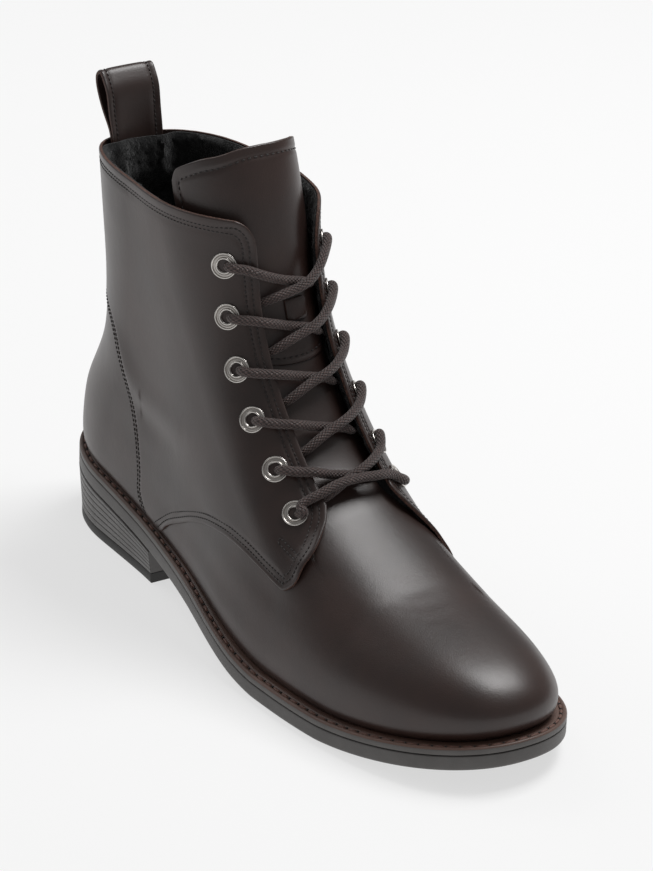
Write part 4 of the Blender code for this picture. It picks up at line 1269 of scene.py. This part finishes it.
outer_start, inner_start = lacing(-1), lacing(1)
route = outer_start + BAR[::-1] + inner_start[::-1]
route_v, route_f, route_offset, route_size = columns(route)
knots = wall(route_v, 1.0 - route_f, route_offset)
run = chord(knots)
lace_run = np.arange(0, run[-1], LACE_STEP)
lace_line = Curve(run, knots)(lace_run)
lace_size = LACE_RADIUS * np.interp(lace_run, run, route_size)
heading = np.gradient(lace_line, axis=0)
heading /= np.linalg.norm(heading, axis=1)[:, None]
side_ways = [np.cross(heading[0], LACE_FIRST_SIDE)]
for t in heading[1:]:
    side_ways.append(side_ways[-1] - (side_ways[-1] @ t) * t)
side_ways = np.array([s / np.linalg.norm(s) for s in side_ways])
turn = np.linspace(0, 2 * np.pi, LACE_SIDES, endpoint=False)
spokes = np.cos(turn)[None, :, None] * side_ways[:, None]
spokes = spokes + np.sin(turn)[None, :, None] * np.cross(heading, side_ways)[:, None]
tube = lace_line[:, None] + lace_size[:, None, None] * spokes
count = len(tube)
index = np.arange(count * LACE_SIDES).reshape(count, LACE_SIDES)
ring_index = np.concatenate([index, index[:, :1]], 1)
lace_faces = grid_faces(ring_index)[:, ::-1].tolist() + [index[0, ::-1].tolist(), index[-1].tolist()]
waxed, tree, shader = shader_material("waxed_braid", LACE_BROWN, roughness=0.55, sheen_weight=0.15)
apart = tree.nodes.new("ShaderNodeSeparateXYZ")
tree.links.new(tree.nodes.new("ShaderNodeUVMap").outputs["UV"], apart.inputs["Vector"])
rounds = tree_math(tree, "MULTIPLY", apart.outputs["X"], 2 * np.pi * BRAID_CELLS)
lengths = tree_math(tree, "MULTIPLY", apart.outputs["Y"], 2 * np.pi / BRAID_LENGTH)
across_cells = tree_math(tree, "COSINE", rounds, 0.0)
along_cells = tree_math(tree, "COSINE", lengths, 0.0)
cells = tree_math(tree, "MULTIPLY", across_cells, along_cells)
cells = tree_math(tree, "MULTIPLY_ADD", cells, 0.5)
cells.node.inputs[2].default_value = 0.5
hairs = texture(tree, "ShaderNodeTexNoise", object_coordinates(tree), scale=900.0, detail=3.0)
# Colour follows the weave's depth: painted shade in its grooves, random pale fibre flecks on the strands.
flecks_and_groove_shade = tree_math(tree, "MULTIPLY", cells, hairs.outputs["Fac"])
bump(tree, shader, cells, depth=0.0005, strength=0.8)
braid_colours_with_groove_shade = ramp_colours(tree, flecks_and_groove_shade, LACE_DARK_FIBRE_AND_GROOVE_SHADE, LACE_PALE, span=(0.08, 0.62))
tree.links.new(braid_colours_with_groove_shade, shader.inputs["Base Color"])
lace = add_piece("lace", tube.reshape(-1, 3), lace_faces, [waxed], sharp=80)
column, row = np.meshgrid(np.arange(LACE_SIDES), np.arange(count - 1))
corner_column = np.stack([column + 1, column + 1, column, column], -1) / LACE_SIDES
corner_row = np.stack([row, row + 1, row + 1, row], -1) * LACE_STEP
braid_uv = np.zeros((len(lace.data.loops), 2))
braid_uv[: corner_row.size] = np.stack([corner_column.ravel(), corner_row.ravel()], -1)
lace.data.uv_layers.new(name="braid").data.foreach_set("uv", braid_uv.ravel())
lace_nodes = [f"lace_crossing_{number}" for number in range(1, len(EYELETS))] + ["lace_bar"]
dress(lace, "lace_cord", *lace_nodes)

# Pull loop: a strap of the same leather folded in two, both legs sewn down inside the back of the collar.
# A row of stitches runs along each side, and its cut edges show reddish brown.
LOOP_WIDTH = 23.5
LOOP_THICKNESS = 1.6
# Columns: x, z, hug, y
LOOP = [
    (6.4, 146.0, 1.00, -2.6), (5.8, 153.0, 1.00, -2.6), (5.0, 160.0, 1.00, -2.6),
    (3.9, 164.5, 0.90, -2.5), (0.0, 170.5, 0.60, -2.2), (-3.5, 176.0, 0.40, -1.9),
    (-5.8, 181.3, 0.25, -1.5), (-5.6, 183.8, 0.20, -1.4), (-3.4, 185.6, 0.20, -1.3),
    (-0.8, 183.8, 0.20, -1.4), (2.4, 179.5, 0.30, -1.7), (4.4, 172.0, 0.50, -2.1),
    (5.9, 165.0, 0.90, -2.5), (6.8, 160.0, 1.00, -2.6), (7.6, 153.0, 1.00, -2.6),
    (8.2, 146.0, 1.00, -2.6),
]
BACK_RADIUS = 24.0
LOOP_ROW_IN = 2.6
LOOP_STEPS = 150
LOOP_SLOPE_STEP = 0.05
LOOP_FROM_SIDE = (0, 0.12, 0.3, 0.55, 0.9, 1.4, 1.9, 2.3, 2.6, 2.9, 3.3, 4.0)
LOOP_FLAT = np.linspace(-6.5, 6.5, 14)
LOOP_INNER_ROLL = 0.4
loop_rows = np.array(LOOP, float)
loop_run = chord(loop_rows[:, :2])
loop_curve = Curve(loop_run, loop_rows)
loop_at = np.linspace(0, loop_run[-1], LOOP_STEPS)
path = loop_curve(loop_at)
slope = (loop_curve(loop_at + LOOP_SLOPE_STEP) - loop_curve(loop_at - LOOP_SLOPE_STEP))[:, :2]
slope /= np.linalg.norm(slope, axis=1)[:, None]
beside = np.stack([-slope[:, 1], slope[:, 0]], -1)
half_width = LOOP_WIDTH / 2
from_side = np.array(LOOP_FROM_SIDE)
loop_width = np.concatenate([from_side - half_width, LOOP_FLAT, half_width - from_side[::-1]])
side_gap = half_width - np.abs(loop_width)
loop_roll = edge_roll(side_gap)
loop_groove = row_groove(side_gap - LOOP_ROW_IN)


def loop_face(offset, width):
    """Face of the strap at an offset from its middle and at places across its width."""
    offset = np.broadcast_to(offset, (len(path), len(width)))
    y = width + path[:, 3:]
    x = path[:, :1] + offset * beside[:, :1] + path[:, 2:3] * y**2 / (2 * BACK_RADIUS)
    z = path[:, 1:2] + offset * beside[:, 1:2]
    return np.stack([x, y, z], -1)


loop_half = LOOP_THICKNESS / 2
outer = loop_face(loop_half - loop_roll - loop_groove, loop_width)
inner = loop_face(-loop_half + LOOP_INNER_ROLL * loop_roll, loop_width)
pull_loop = shell("pull_loop", outer, inner, [leather, cut_edge])
dress(pull_loop, "upper_leather", "pull_loop")
loop_stitches = []
for side in SIDES:
    edge_at = np.array([side * (half_width - LOOP_ROW_IN)])
    line = loop_face(loop_half - STITCH_SINK, edge_at)[:, 0]
    above = loop_face(loop_half + 1.0, edge_at)[:, 0] - line
    loop_stitches.append((line, above / np.linalg.norm(above, axis=1)[:, None]))
dress(sew("loop_stitches", loop_stitches, dark_thread), "lace_cord")

# Insole: fibre board cut to the last's sole and covered with the same fleece. It lies on the midsole and is
# seen only from above, through the collar.
insole_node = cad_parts["insole"]
insole_node.data.materials.clear()
insole_node.data.materials.append(fleece)

# Welt: the rim of the midsole, a leather strip round the foot of the upper with one row of long brown
# stitches through it. Dark dots at its stitch holes are painted shade. Its outer edge is trimmed flush
# with the outsole.
MIDSOLE_THICKNESS = 3.0
WELT_STATIONS = 190
WELT_TOP_LEVEL = 4
WELT_ROW_IN = 2.3
WELT_ROW_SINK = 0.35
WELT_PITCH = 5.2
WELT_DARK = (0.0700, 0.0400, 0.0310)
WELT_WARM = (0.1350, 0.0730, 0.0540)
TRIM_DARK = (0.074, 0.068, 0.064)
TRIM_PALE = (0.100, 0.092, 0.087)


def chains(edge):
    """The outline's outer and inner sides from back to toe, as x and y."""
    start, end = edge[:, 0].argmin(), edge[:, 0].argmax()
    forward = np.roll(edge, -start, 0)
    cut = (end - start) % len(edge)
    one = forward[: cut + 1]
    other = np.concatenate([forward[cut:], forward[:1]])[::-1]
    return (one, other) if one[:, 1].mean() < other[:, 1].mean() else (other, one)


def level_chains(edge, height, stations, x_end=None):
    """Both sides of an outline at stations close together at its round ends, lifted to height(x)."""
    pair = chains(edge)
    ends = pair[0][0, 0], pair[0][-1, 0] if x_end is None else x_end
    share = np.linspace(0, 1, stations)
    share = 0.5 - 0.5 * np.cos(np.pi * share) if x_end is None else 1 - np.cos(np.pi / 2 * share)
    x = ends[0] + (ends[1] - ends[0]) * share
    made = [np.stack([x, np.interp(x, c[:, 0], c[:, 1]), height(x)], -1) for c in pair]
    for tip in (0, -1) if x_end is None else (0,):
        made[0][tip] = made[1][tip] = (made[0][tip] + made[1][tip]) / 2
    return made


def slab(name, levels, materials, pointed=True, sharp=40, top_from=None):
    """Loft through levels of matching chains from the lowest to the highest, closed below and above. From
    the level top_from on, faces take the last material."""
    count = len(levels[0][0])
    points = np.concatenate([np.concatenate(pair) for pair in levels])
    last = count - 2 if pointed else count - 1
    loop = np.array([i for i in range(count)] + [count + i for i in range(last, 0, -1)])
    rings = loop + 2 * count * np.arange(len(levels))[:, None]
    rings = np.concatenate([rings, rings[:, :1]], 1)
    faces = [f[::-1] for f in grid_faces(rings).tolist()]
    for level, turned in ((0, False), (len(levels) - 1, True)):
        base = 2 * count * level
        for i in range(count - 1):
            a, b, c, d = base + i, base + i + 1, base + count + i + 1, base + count + i
            cap = [a, d, c, b]
            if i == 0:
                cap = [a, c, b]
            elif i == count - 2 and pointed:
                cap = [a, d, b]
            faces.append(cap[::-1] if turned else cap)
    used = np.unique(np.concatenate(faces))
    number = np.zeros(len(points), int)
    number[used] = np.arange(len(used))
    slots = np.zeros(len(faces), np.int32)
    if top_from is not None:
        slots[top_from * len(loop) : (len(levels) - 1) * len(loop)] = len(materials) - 1
        slots[len(faces) - count + 1 :] = len(materials) - 1
    renumbered = [[int(number[n]) for n in f] for f in faces]
    return add_piece(name, points[used], renumbered, materials, slots, sharp)


# Columns: inset, below the top
WELT_PROFILE = [
    (0.6, MIDSOLE_THICKNESS), (0.12, MIDSOLE_THICKNESS - 0.15), (0.0, MIDSOLE_THICKNESS - 0.5), (0.0, 1.2),
    (0.08, 0.75), (0.3, 0.35), (0.65, 0.1), (1.1, 0.0), (1.5, 0.05), (1.8, 0.4), (2.3, 0.55), (2.9, 0.45),
    (3.3, 0.1), (4.0, 0.0), (7.5, 0.0),
]


def edge_levels(profile):
    """Levels of a plate from rows of inset and depth below the welt's upper face."""
    levels = []
    for inset, below in profile:
        levels.append(level_chains(ledge(inset), lambda x, d=below: welt_height(x) - d, WELT_STATIONS))
    return levels


welt_finish = leather_finish("waxed_welt", WELT_DARK, WELT_WARM, gloss=0.55)


SATIN_RANGE = 0.08


def rubber_finish(name, dark, pale, gloss):
    """Moulded rubber: satin skin with a fine dusty mottle."""
    m, tree, shader = shader_material(name, dark, gloss)
    where = object_coordinates(tree)
    dust = texture(tree, "ShaderNodeTexNoise", where, scale=90.0, detail=6.0, roughness=0.65)
    dusty = ramp_colours(tree, dust.outputs["Fac"], dark, pale, span=(0.3, 0.75))
    tree.links.new(dusty, shader.inputs["Base Color"])
    skin = texture(tree, "ShaderNodeTexNoise", where, scale=1600.0, detail=3.0)
    satin = map_range(tree, skin.outputs["Fac"], gloss - SATIN_RANGE, gloss + SATIN_RANGE)
    tree.links.new(satin, shader.inputs["Roughness"])
    bump(tree, shader, skin.outputs["Fac"], depth=0.00012, strength=0.6)
    return m


trimmed_edge = rubber_finish("trimmed_welt_edge", TRIM_DARK, TRIM_PALE, gloss=0.48)
welt = slab("welt", edge_levels(WELT_PROFILE), [trimmed_edge, welt_finish], top_from=WELT_TOP_LEVEL)
dress(welt, "welt", "midsole")
welt_row = ledge(WELT_ROW_IN)
welt_row = np.concatenate([welt_row, welt_row[:1]])
welt_row = np.column_stack([welt_row, welt_height(welt_row[:, 0]) - WELT_ROW_SINK])
straight_up = np.tile([0.0, 0.0, 1.0], (len(welt_row), 1))
WELT_THREAD = (0.190, 0.085, 0.060)
welt_thread = thread_finish("brown_welt_thread", WELT_THREAD)
welt_stitches = sew(
    "welt_stitches", [(welt_row, straight_up)], welt_thread, WELT_PITCH, length=4.9, width=1.45, height=1.0
)
dress(welt_stitches, "lace_cord")
# Dark thread dots at the holes between the stitches: painted shade inside the stitch holes.
half_pitch = int(np.searchsorted(chord(welt_row), 0.5 * WELT_PITCH))
hole_row = np.concatenate([welt_row[half_pitch:], welt_row[1 : half_pitch + 1]])
welt_hole_shade_dots = sew(
    "welt_hole_shade_dots", [(hole_row, straight_up)], dark_thread, WELT_PITCH, length=0.9, width=1.2, height=1.1
)
dress(welt_hole_shade_dots, "lace_cord")

# Outsole: moulded rubber plate under the welt, rounded at its lower edge, with a fine parting line where it
# meets the welt's edge. It rises to the heel seat and springs up at the toe.

# Columns: inset, below the top
OUTSOLE_PROFILE = [
    (7.0, SOLE_THICKNESS), (1.3, SOLE_THICKNESS), (0.75, SOLE_THICKNESS - 0.12),
    (0.35, SOLE_THICKNESS - 0.4), (0.1, SOLE_THICKNESS - 0.85), (0.0, SOLE_THICKNESS - 1.4),
    (0.0, 3.75), (0.05, 3.5), (0.25, 3.3), (0.7, 3.2),
]
SOLE_DARK = (0.070, 0.065, 0.062)
SOLE_PALE = (0.094, 0.088, 0.084)
sole_rubber = rubber_finish("satin_sole_rubber", SOLE_DARK, SOLE_PALE, gloss=0.47)
outsole = slab("outsole", edge_levels(OUTSOLE_PROFILE), [sole_rubber])
dress(outsole, "sole_rubber", "outsole")

# Heel: moulded block made to look like stacked lifts, with five fine grooves round its side and a plain
# breast. It tapers a little towards the floor.
HEEL_BREAST_X = 69.0
HEEL_TAPER = 1.4
HEEL_LIFT = 4.0
HEEL_GROOVES = 5
GAP = 0.3
HEEL_STATIONS = 90


def heel_level(share, inset):
    """Outline of the heel at a share of its height, moved in by an inset."""
    low = HEEL_LIFT + GAP

    def height(x):
        return low + share * (welt_height(x) - SOLE_THICKNESS - GAP - low)

    return level_chains(ledge(inset + HEEL_TAPER * (1 - share)), height, HEEL_STATIONS, HEEL_BREAST_X)


# Columns: share, inset
HEEL_GROOVE = [(-0.020, 0.0), (-0.012, 0.10), (-0.006, 0.42), (0.006, 0.42), (0.012, 0.10), (0.020, 0.0)]
HEEL_FOOT = [(0.0, 0.35), (0.012, 0.0)]
HEEL_HEAD = [(0.985, 0.0), (1.0, 0.35)]
HEEL_TOP_BAND = 0.7
HEEL_DARK = (0.090, 0.085, 0.082)
HEEL_PALE = (0.120, 0.114, 0.110)
heel_rows = list(HEEL_FOOT)
for number in range(1, HEEL_GROOVES + 1):
    middle = number / (HEEL_GROOVES + HEEL_TOP_BAND)
    heel_rows += [(middle + share, inset) for share, inset in HEEL_GROOVE]
heel_levels = [heel_level(share, inset) for share, inset in heel_rows + HEEL_HEAD]
heel_rubber = rubber_finish("satin_heel_rubber", HEEL_DARK, HEEL_PALE, gloss=0.45)
heel = slab("heel", heel_levels, [heel_rubber], pointed=False)
dress(heel, "sole_rubber", "heel")

# Heel lift: the dark wearing piece under the heel, cut from hard rubber and glued on. It has the outline of
# the heel's foot and a small bevel at the floor.

# Columns: inset, height
LIFT_PROFILE = [(0.7, 0.0), (0.25, 0.2), (0.0, 0.7), (0.0, HEEL_LIFT - 0.35), (0.25, HEEL_LIFT)]
lift_levels = []
for inset, z in LIFT_PROFILE:
    edge = ledge(HEEL_TAPER + inset)
    lift_levels.append(level_chains(edge, lambda x, z=z: 0 * x + z, HEEL_STATIONS, HEEL_BREAST_X))
LIFT_DARK = (0.020, 0.019, 0.018)
LIFT_PALE = (0.030, 0.028, 0.027)
lift_rubber = rubber_finish("matt_lift_rubber", LIFT_DARK, LIFT_PALE, gloss=0.55)
heel_lift = slab("heel_lift", lift_levels, [lift_rubber], pointed=False)
dress(heel_lift, "lift_rubber", "heel_lift")

# Floor, light and camera: pale paper under one large soft light from above the inner side, a weaker one from
# the heel and weak light from all round, with the camera at the photograph's place.
FLOOR_SIZE = 8.0
PAPER_GREY = (0.33, 0.33, 0.33)
ROOM_LIGHT = 0.26
paper, tree, shader = shader_material("pale_paper", PAPER_GREY, roughness=0.9, emission_strength=0.63)
shader.inputs["Emission Color"].default_value = (1.0, 1.0, 1.0, 1.0)
shader.inputs["Specular IOR Level"].default_value = 0.1
bpy.ops.mesh.primitive_plane_add(size=FLOOR_SIZE)
floor = bpy.context.object
floor.name = "floor"
floor.data.materials.append(paper)
floor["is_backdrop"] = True
world = bpy.data.worlds.new("studio")
bpy.context.scene.world = world
world.use_nodes = True
world.node_tree.nodes["Background"].inputs["Color"].default_value = (1.0, 1.0, 1.0, 1.0)
world.node_tree.nodes["Background"].inputs["Strength"].default_value = ROOM_LIGHT
# Columns: azimuth, elevation, distance, size, power
LIGHTS = [(180.0, 66.0, 1.5, 0.74, 17.5), (-75.0, 35.0, 2.2, 1.4, 7.5)]
LOOK_AT = (139.48, 3.52, 85.61)
TARGET = Vector(((np.array(LOOK_AT) - MIDDLE) * MM).tolist())


def direction(azimuth, elevation):
    """Unit vector towards a place round the boot; azimuth 0 is the outer side and 90 the toe."""
    a, e = np.radians([azimuth, elevation])
    return Vector((np.sin(a) * np.cos(e), -np.cos(a) * np.cos(e), np.sin(e)))


for number, (azimuth, elevation, distance, size, power) in enumerate(LIGHTS, 1):
    lamp = bpy.data.lights.new(f"softbox_{number}", "AREA")
    lamp.size = size
    lamp.energy = power
    holder = bpy.data.objects.new(lamp.name, lamp)
    away = direction(azimuth, elevation)
    holder.location = TARGET + distance * away
    holder.rotation_euler = away.to_track_quat("Z", "Y").to_euler()
    bpy.context.scene.collection.objects.link(holder)

CAMERA_AZIMUTH = 56.05
CAMERA_ELEVATION = 25.14
CAMERA_ROLL = 2.3
CAMERA_DISTANCE = 1.6
FOCAL_PIXELS = 4287.7
FRAME_HEIGHT = 871
SENSOR = 36.0
camera_data = bpy.data.cameras.new("camera")
camera_data.sensor_width = SENSOR
camera_data.lens = FOCAL_PIXELS / FRAME_HEIGHT * SENSOR
camera = bpy.data.objects.new("camera", camera_data)
bpy.context.scene.collection.objects.link(camera)
away = direction(CAMERA_AZIMUTH, CAMERA_ELEVATION)
level = Vector((np.cos(np.radians(CAMERA_AZIMUTH)), np.sin(np.radians(CAMERA_AZIMUTH)), 0.0))
above = away.cross(level)
roll = np.radians(CAMERA_ROLL)
right = np.cos(roll) * level + np.sin(roll) * above
turned = Matrix((right, away.cross(right), away)).transposed()
camera.matrix_world = Matrix.Translation(TARGET + CAMERA_DISTANCE * away) @ turned.to_4x4()
bpy.context.scene.camera = camera
bpy.context.scene.view_settings.view_transform = "Standard"

sizes = {"cad": [list(c) for c in cad_box], "visual": [list(c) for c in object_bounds()]}
